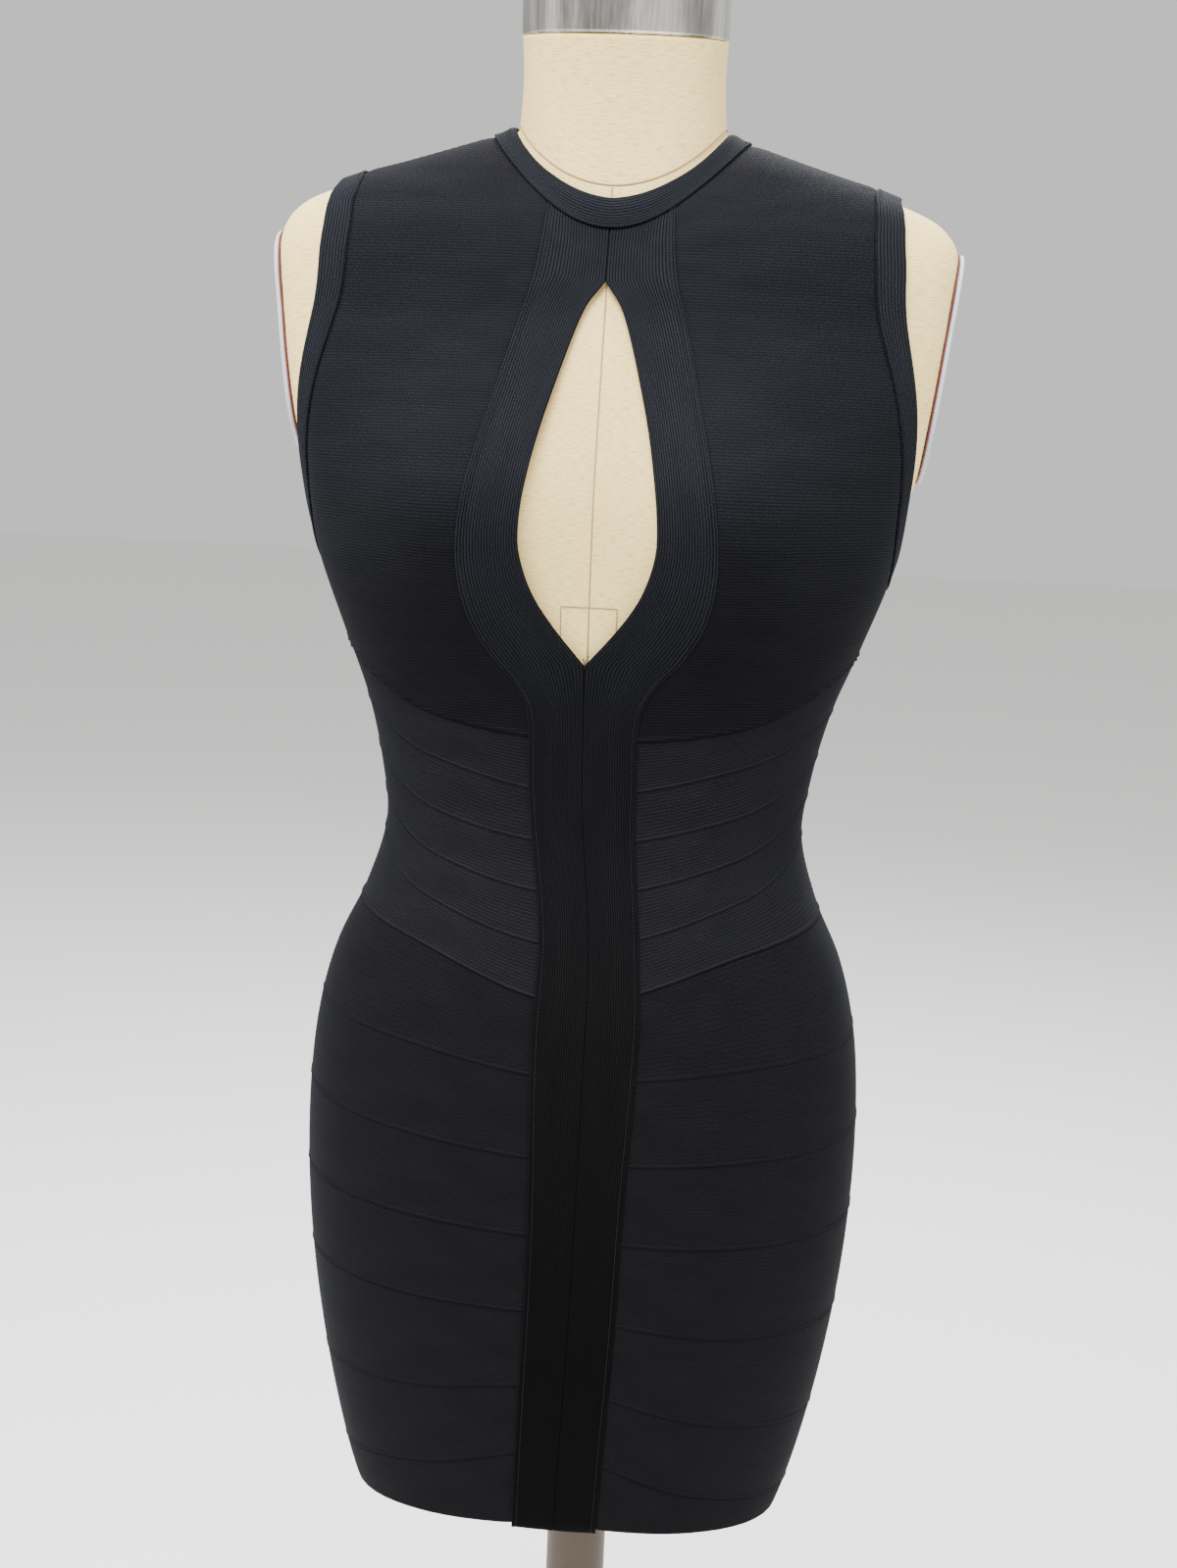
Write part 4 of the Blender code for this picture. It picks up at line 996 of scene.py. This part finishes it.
def bodice_heights(at_front):
    """Heights of a bodice panel's rows, a third of a rib apart up the cloth at mid panel and on
    in even steps to past the shoulder."""
    angle = np.full(LEVELS.shape, math.radians(MID_FRONT if at_front else MID_BACK))
    path = spanned(angle, LEVELS)
    walked = path_lengths(path)
    foot, top = min(SEAMS["underbust"]) - 0.002, SIDE_HEIGHT[-2]
    start, end = np.interp((foot, min(top, path[-1, 2])), path[:, 2], walked)
    heights = np.interp(np.arange(start, end, BODICE_PITCH / RIB_SAMPLES), walked, path[:, 2])
    step = heights[-1] - heights[-2]
    return np.concatenate([heights, np.arange(heights[-1] + step, top + 0.004, step)])


def bodice_place(side, at_front, heights, relief, across, row):
    """A bodice panel; across runs from the strip or zip (0) to the side, row counts up."""
    height = np.interp(row, np.arange(len(heights)), heights)
    outer = side * bodice_side(at_front, height)
    level = np.full(across.shape, 0.6)
    for _ in range(12):
        if at_front:
            inner = on_line(STRIP_OUTER[side], level) - shift(side, level, TUCK)
        else:
            inner = on_line(ZIP_EDGE[side], level)
        angle = inner + (outer - inner) * across
        bottom = seam_level("underbust", angle) - LAP
        top = neckline(angle, TUCK)
        level = np.clip(level_at(angle, height), bottom, top)
    radius = cloth_radius(angle, level)
    above_seam = level - bottom
    below_neck = (top - level) * table_at(CLOTH_TO_LEVEL, level)
    to_arm = armhole_distance(angle, level)
    to_inner = np.abs(angle - inner) * radius
    to_side = np.abs(math.pi / 2 - np.abs(angle)) * radius
    calm = soft_step(above_seam / CALM_WIDTH) * soft_step(below_neck / CALM_WIDTH)
    relief = relief * calm * smooth_value((0.60, 0.70), BODICE_RELIEF, level)
    count = rib_count(row / RIB_SAMPLES, 1)
    out = (CLOTH_OUT + relief * rib(count) + lapped(above_seam, BOLD_RISE, BOLD_WIDTH)
           + np.minimum(tucked(below_neck), tucked(to_arm, ARM_TUCK_WIDTH)) + rolled(to_side, *SIDE_ROLL)
           + (tucked(to_inner) if at_front else rolled(to_inner, *ZIP_ROLL)))
    return cloth_at(angle, level, out), np.stack([angle * LAY_RADIUS, count], axis=-1)


def dense_ends(count, length):
    """0 to 1 in even steps, with extra places a millimetre apart near the ends."""
    near = np.array([0.0, 0.0008, 0.0016, 0.0026, 0.0040]) / length
    middle = np.linspace(0.0, 1.0, count + 1)[1:-1]
    middle = middle[(middle > near[-1]) & (middle < 1 - near[-1])]
    return np.concatenate([near, middle, 1 - near[::-1]])


BODICE_KNIT = make_knit("bodice_knit", (0.0075, 0.0077, 0.0100), (0.0168, 0.0172, 0.0215),
                        groove=0.58, shades=BODICE_PAINTED_SHADE)
for side, side_name in SIDES:
    for at_front, part in ((True, "front"), (False, "back")):
        heights = bodice_heights(at_front)
        forward = 1 if (side > 0) == at_front else -1
        node = "bodice_%s_%s" % (part, side_name)
        knit_piece("knit_" + node, node, BODICE_KNIT,
                   dense_ends(BODICE_COLUMNS, BODICE_WIDTH)[::forward], np.arange(len(heights)),
                   partial(bodice_place, side, at_front, heights), 1.0)

# ---------------------------------------------------------------- waist and skirt bands
# Narrow bands of rib knit, ribs lengthwise, run from the strips round to centre back. Each laps
# over the next one down in a thin welt, and the seam at the hip is bold like the one at the bust.
BAND_PITCH = 0.0019
BAND_STEPS = 38
BAND_LENGTH = 0.40
BAND_RADIUS = 0.14
HEM_RIBS = 20               # finer, as this band is the widest
WAIST_RELIEF = 0.7
SKIRT_RELIEF = 0.4
WELT_RISE = 0.0008
WAIST_SEAMS = ("underbust", "waist_1", "waist_2", "waist_3", "waist_4", "hip")
SKIRT_SEAMS = ("hip", "skirt_1", "skirt_2", "skirt_3", "skirt_4", "skirt_5", "skirt_6", "hem")
BACK_SEAM = {side: angles_at_x(side * np.full(LEVELS.shape, 0.00005), at_back=True)
             for side in (1, -1)}


def band_place(side, upper, lower, back_line, rise, ribs, relief, across, up):
    """A band; across runs from the strip (0) to centre back, up from its lower seam (0)."""
    level = np.full(across.shape, (SEAMS[upper][0] + SEAMS[lower][0]) / 2)
    for _ in range(6):
        start = on_line(STRIP_OUTER[side], level) - shift(side, level, TUCK)
        angle = start + (on_line(back_line[side], level) - start) * across
        bottom = seam_level(lower, angle) - (0.0 if lower == "hem" else LAP)
        top = seam_level(upper, angle) + TUCK
        level = bottom + (top - bottom) * up
    radius = cloth_radius(angle, level)
    to_back = np.abs(on_line(back_line[side], level) - angle) * radius
    below, above = (1 - up) * (top - bottom), up * (top - bottom)
    welt = rolled(above, HEM_DROP) if lower == "hem" else lapped(above, rise, 0.0016 + rise)
    calm = 0.35 + 0.65 * soft_step(above / CALM_WIDTH)
    count = rib_count(up, ribs)
    out = (CLOTH_OUT + relief * calm * rib(count) + welt + tucked(below, 0.0030)
           + tucked(np.abs(angle - start) * radius) + rolled(to_back, *ZIP_ROLL))
    return cloth_at(angle, level, out), np.stack([angle * BAND_RADIUS, count], axis=-1)


def knit_band(name, side, upper, lower, back_line, rise, relief, material):
    """One band, with as many ribs as its depth at centre front holds."""
    ribs = max(8, round((SEAMS[upper][0] - SEAMS[lower][0]) / BAND_PITCH))
    if lower == "hem":
        ribs = HEM_RIBS
    node = name + ("_left" if side > 0 else "_right")
    knit_piece("knit_" + node, node, material,
               dense_ends(BAND_STEPS, BAND_LENGTH)[::side], samples(ribs),
               partial(band_place, side, upper, lower, back_line, rise, ribs), relief)


WAIST_KNIT = make_knit("waist_knit", (0.0072, 0.0072, 0.0090), (0.0165, 0.0165, 0.0200),
                       groove=0.62)
SKIRT_KNIT = make_knit("skirt_knit", (0.0048, 0.0048, 0.0056), (0.0112, 0.0112, 0.0130),
                       groove=0.80)
for side in (1, -1):
    for number, (upper, lower) in enumerate(zip(WAIST_SEAMS, WAIST_SEAMS[1:]), start=1):
        knit_band("waist_band_%d" % number, side, upper, lower, ZIP_EDGE,
                  BOLD_RISE if lower == "hip" else WELT_RISE, WAIST_RELIEF, WAIST_KNIT)
    for number, (upper, lower) in enumerate(zip(SKIRT_SEAMS, SKIRT_SEAMS[1:]), start=1):
        knit_band("skirt_band_%d" % number, side, upper, lower,
                  ZIP_EDGE if number == 1 else BACK_SEAM, WELT_RISE, SKIRT_RELIEF, SKIRT_KNIT)

# ---------------------------------------------------------------- neckband
# A folded band of rib knit, ribs along it, linked on over the top of the bodice. Its ends meet the
# zip at centre back.
NECKBAND_TOP = 0.852
NECKBAND_RIBS = 12
NECKBAND_STEPS = 132
NECKBAND_RADIUS = 0.065
NECKBAND_ROLL = (0.0015, 0.0070)    # its top edge is folded in towards the neck
TRIM_PROUD = 0.0002         # outer face of the folded bands past the other cloth's
TRIM_WELT = 0.0007
TRIM_RELIEF = 0.65
TRIM_STRETCH = 1.04         # the bands that finish an edge are drawn less tight
NECKBAND_DEPTH = 0.018
NECKBAND_HALF_LENGTH = 0.19
NECK_POINT = 0.0022         # how far its top edge dips to a point at centre front
NECK_POINT_TURN = 0.50
TRIM_KNIT = make_knit("trim_knit", (0.0115, 0.0126, 0.0166), (0.0245, 0.0265, 0.0335),
                      groove=0.18)


def neckband_place(relief, turn, up):
    """The neckband; turn runs from the zip's right side (-1) to its left (1), up from its seam."""
    end = on_line(ZIP_EDGE[1], NECKBAND_BOTTOM + up * (NECKBAND_TOP - NECKBAND_BOTTOM))
    angle = turn * end
    bottom = neckline(angle, -LAP)
    top = NECKBAND_TOP - NECK_POINT * np.maximum(0.0, 1 - np.abs(angle) / NECK_POINT_TURN)
    level = bottom + (top - bottom) * up
    from_top = (1 - up) * NECKBAND_DEPTH
    count = rib_count(up, NECKBAND_RIBS)
    out = (CLOTH_OUT + TRIM_PROUD + relief * rib(count) + lapped(up * NECKBAND_DEPTH, TRIM_WELT)
           + rolled(from_top, *NECKBAND_ROLL) + rolled(from_top, *ZIP_ROLL)
           + rolled((1 - np.abs(turn)) * NECKBAND_HALF_LENGTH, *ZIP_ROLL))
    return cloth_at(angle, level, out), np.stack([angle * NECKBAND_RADIUS, count], axis=-1)


knit_piece("knit_neckband", "neckband", TRIM_KNIT,
           dense_ends(NECKBAND_STEPS, 2 * NECKBAND_HALF_LENGTH) * 2 - 1, samples(NECKBAND_RIBS),
           neckband_place, TRIM_RELIEF, stretch=TRIM_STRETCH)

# ---------------------------------------------------------------- armhole bindings
# A closed ring of the same folded rib knit finishes each armhole, linked on over the bodice.
BINDING_RIBS = 9
BINDING_DEPTH = 0.014
BINDING_REACH = 1.05        # how far past the seam it laps, as armhole_line's grow
BINDING_ROLL = (0.0007, 0.0012)
BINDING_RADIUS = 0.1


def binding_place(side, relief, turn, up):
    """A binding; turn runs round the armhole, up from its seam to its edge."""
    angle, level = armhole_line(turn, BINDING_REACH * (1 - up))
    count = rib_count(up, BINDING_RIBS)
    out = (CLOTH_OUT + TRIM_PROUD + relief * rib(count) + lapped(up * BINDING_DEPTH, TRIM_WELT)
           + rolled((1 - up) * BINDING_DEPTH, *BINDING_ROLL))
    return cloth_at(side * angle, level, out), np.stack([turn * BINDING_RADIUS, count], axis=-1)


for side, side_name in SIDES:
    knit_piece("knit_armhole_binding_" + side_name, "armhole_binding_" + side_name, TRIM_KNIT,
               np.linspace(0, 2 * math.pi, 161)[::-side], samples(BINDING_RIBS),
               partial(binding_place, side), TRIM_RELIEF, stretch=TRIM_STRETCH)

# ---------------------------------------------------------------- linking stitches
# Chains of small looped stitches join the strips, the neckband and the bindings to the pieces they
# lap over. Each stitch is a bead of thread lying along its seam.
STITCH_PITCH = 0.0017
STITCH_INSET = 0.0026       # from the lapping edge
STITCH_SIZE = (0.00145, 0.00055, 0.00050)
STITCH_PROUD = 0.0002       # over the cloth's outer face, on top of the welt
THREAD_RADIUS = 0.00022
THREAD_FOOT = (-0.001, -0.0042, -0.002)     # from the surface at the foot of the keyhole
THREAD_ENDS = ((0.27, 0.10, 0.0075), (-0.15, 0.05, 0.0060), (0.06, 0.20, 0.0050))
STITCH_THREAD = start_material("stitch_thread", (0.0095, 0.0100, 0.0130), 0.8,
                               Specular_IOR_Level=0.12)[0]


def spaced_line(angle, level, pitch):
    """Places a pitch apart along a line on the cloth."""
    points = cloth_at(angle, level, CLOTH_OUT)
    walked = path_lengths(points)
    places = np.arange(pitch / 2, walked[-1], pitch)
    return np.interp(places, walked, angle), np.interp(places, walked, level)


def frames_on(angle, level, out):
    """A frame at each place on the cloth: x along the line, z out from the cloth."""
    points = cloth_at(angle, level, out)
    outward = cloth_at(angle, level, out + 0.001) - points
    along = np.gradient(points, axis=0)
    outward /= np.linalg.norm(outward, axis=1, keepdims=True)
    along -= outward * (along * outward).sum(axis=1, keepdims=True)
    along /= np.linalg.norm(along, axis=1, keepdims=True)
    return np.stack([along, np.cross(outward, along), outward, points], axis=-1)


def copies(name, unit, frames):
    """One mesh of many copies of a small one, each in its own frame."""
    corners = np.array([corner.co for corner in unit.vertices])
    placed = np.einsum("nij,vj->nvi", frames[:, :, :3], corners) + frames[:, None, :, 3]
    faces = [tuple(face.vertices) for face in unit.polygons]
    mesh = bpy.data.meshes.new(name)
    mesh.from_pydata(placed.reshape(-1, 3), [],
                     [tuple(corner + number * len(corners) for corner in face)
                      for number in range(len(frames)) for face in faces])
    mesh.shade_smooth()
    return mesh


def bead(length, width, height):
    """A small rounded bead."""
    bm = bmesh.new()
    bmesh.ops.create_uvsphere(bm, u_segments=6, v_segments=4, radius=0.5, matrix=(
        Matrix.Diagonal((length, width, height, 1.0)) @ Matrix.Rotation(math.pi / 2, 4, "Y")))
    return finished(bm, "bead")


STITCH = bead(*STITCH_SIZE)


def stitch_row(name, angle, level):
    """A row of stitches along a line, on top of the welt."""
    frames = frames_on(*spaced_line(angle, level, STITCH_PITCH), CLOTH_OUT + STITCH_PROUD)
    return copies(name, STITCH, frames)


for side, side_name in SIDES:
    strip_levels = np.linspace(STRIP_HEM + 0.001, NECKBAND_BOTTOM - 0.002, 700)
    strip_line = on_line(STRIP_OUTER[side], strip_levels) + shift(side, strip_levels,
                                                                  LAP - STITCH_INSET)
    add_piece(stitch_row("stitches", strip_line, strip_levels), "strip_stitches_" + side_name,
              STITCH_THREAD)
    arm_line, arm_levels = armhole_line(np.linspace(0, 2 * math.pi, 900),
                                        BINDING_REACH * (1 - STITCH_INSET / BINDING_DEPTH))
    add_piece(stitch_row("stitches", side * arm_line, arm_levels), "armhole_stitches_" + side_name,
              STITCH_THREAD)
neck_turn = np.linspace(-1.0, 1.0, 900) * (on_line(ZIP_EDGE[1], NECKBAND_BOTTOM) - 0.02)
add_piece(stitch_row("stitches", neck_turn, neckline(neck_turn, STITCH_INSET - LAP)),
          "neckband_stitches", STITCH_THREAD)
# The thread's cut ends stand up at the foot of the keyhole.
foot = in_frame(spanned(np.array([0.0]), np.array([KEYHOLE_BOTTOM])))[0] + THREAD_FOOT
thread_ends = [tube_along("end", np.array([foot + np.array([lean, -lift, 1.0]) * rise
                                           for rise in np.linspace(0.0, length, 7)]), THREAD_RADIUS)
               for lean, lift, length in THREAD_ENDS]
add_piece(join_meshes("ends", thread_ends), "thread_ends", STITCH_THREAD)

# ---------------------------------------------------------------- zip
# A metal zip closes centre back from the neckband down to the first skirt seam. Its woven tapes
# are sewn under the edges of the backs, and two rows of teeth mesh between them, finished dark
# grey. The slider and its pull tab stand at the top.
TAPE_INNER = 0.0012
TAPE_OUTER = 0.0125
TAPE_OUT = 0.0024           # outer face of the tape over the linen
TAPE_WALL = 0.0006
TAPE_PICK = 0.0012          # between the picks of the tape's weave
TOOTH_PITCH = 0.0020        # between teeth of one row
TOOTH_SIZE = (0.00085, 0.0030, 0.0017)
TOOTH_BEVEL = 0.00022
TOOTH_OUT = 0.0006          # its middle past the tape's face
TOOTH_STAGGER = 0.0009      # its middle to either side of the zip's
ZIP_LOW = SEAMS["skirt_1"][5]


def tape_place(side, _, across, level):
    """One tape, which has no relief; across runs outward from the teeth."""
    radius = section(BACK_DEPTH, level)
    reach = TAPE_INNER + (TAPE_OUTER - TAPE_INNER) * across
    points = cloth_at(side * (math.pi - reach / radius), level, TAPE_OUT)
    return points, np.stack([across * 0.01, level / TAPE_PICK], axis=-1)


TAPE_WEAVE = make_knit("tape_weave", (0.0075, 0.0075, 0.0085), (0.016, 0.016, 0.018))
tape_levels = np.linspace(ZIP_LOW, NECKBAND_TOP, 150)
for side, side_name in SIDES:
    knit_piece("woven_zip_tape_" + side_name, "zip_tape_" + side_name, TAPE_WEAVE,
               np.linspace(0.0, 1.0, 9)[::-side], tape_levels, partial(tape_place, side), 0.0,
               wall=TAPE_WALL, stretch=1.0)

GUNMETAL = start_material("gunmetal", (0.055, 0.055, 0.060), 0.35, Metallic=1.0)[0]
tooth_bm = bmesh.new()
bmesh.ops.create_cube(tooth_bm, size=1.0, matrix=Matrix.Diagonal((*TOOTH_SIZE, 1.0)))
bmesh.ops.bevel(tooth_bm, geom=tooth_bm.edges[:], offset=TOOTH_BEVEL, affect="EDGES", segments=1,
                profile=0.5, material=-1)
TOOTH = finished(tooth_bm, "tooth")
tooth_angle, tooth_level = spaced_line(np.full(600, math.pi),
                                       np.linspace(ZIP_LOW + 0.001, NECKBAND_TOP - 0.001, 600),
                                       TOOTH_PITCH / 2)
tooth_frames = frames_on(tooth_angle, tooth_level, TAPE_OUT + TOOTH_OUT)
staggered = np.where(np.arange(len(tooth_frames)) % 2, TOOTH_STAGGER, -TOOTH_STAGGER)
tooth_frames[:, :, 3] += staggered[:, None] * tooth_frames[:, :, 1]
teeth_mesh = copies("teeth", TOOTH, tooth_frames)
teeth_mesh.shade_flat()
add_piece(teeth_mesh, "zip_teeth", GUNMETAL, ["zip_chain"])
for node in ("zip_slider", "zip_pull"):
    metal_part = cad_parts[node]
    for metal_slot in metal_part.material_slots:
        metal_slot.material = GUNMETAL

# ---------------------------------------------------------------- floor and light
# A plain pale floor under soft studio light: one large lamp over the front, one at each side and
# one behind.
floor_bm = bmesh.new()
bmesh.ops.create_grid(floor_bm, x_segments=1, y_segments=1, size=14.0)
floor_mesh = finished(floor_bm, "floor")
floor_mesh.materials.append(start_material("floor_paint", (0.93, 0.93, 0.92), 0.9)[0])
new_object("floor", floor_mesh)

world = bpy.data.worlds.new("studio")
bpy.context.scene.world = world
world.use_nodes = True
background = world.node_tree.nodes["Background"].inputs
background["Color"].default_value = (0.90, 0.90, 0.89, 1.0)
background["Strength"].default_value = 0.85


def add_lamp(name, place, aim, size, power):
    """A square soft lamp at a place, turned to its aim."""
    lamp = new_object(name, bpy.data.lights.new(name, "AREA"))
    lamp.data.size = size
    lamp.data.energy = power
    lamp.location = place
    lamp.rotation_euler = (Vector(aim) - Vector(place)).to_track_quat("-Z", "Y").to_euler()


chest = (0.0, 0.0, HEM_HEIGHT + 0.5)
add_lamp("front_lamp", (-0.4, -1.5, 3.5), chest, 1.5, 230.0)
add_lamp("left_lamp", (2.0, -0.5, 2.9), chest, 1.2, 75.0)
add_lamp("right_lamp", (-2.0, -0.2, 2.8), chest, 1.2, 80.0)
add_lamp("back_lamp", (0.4, 2.2, 3.2), chest, 1.5, 130.0)
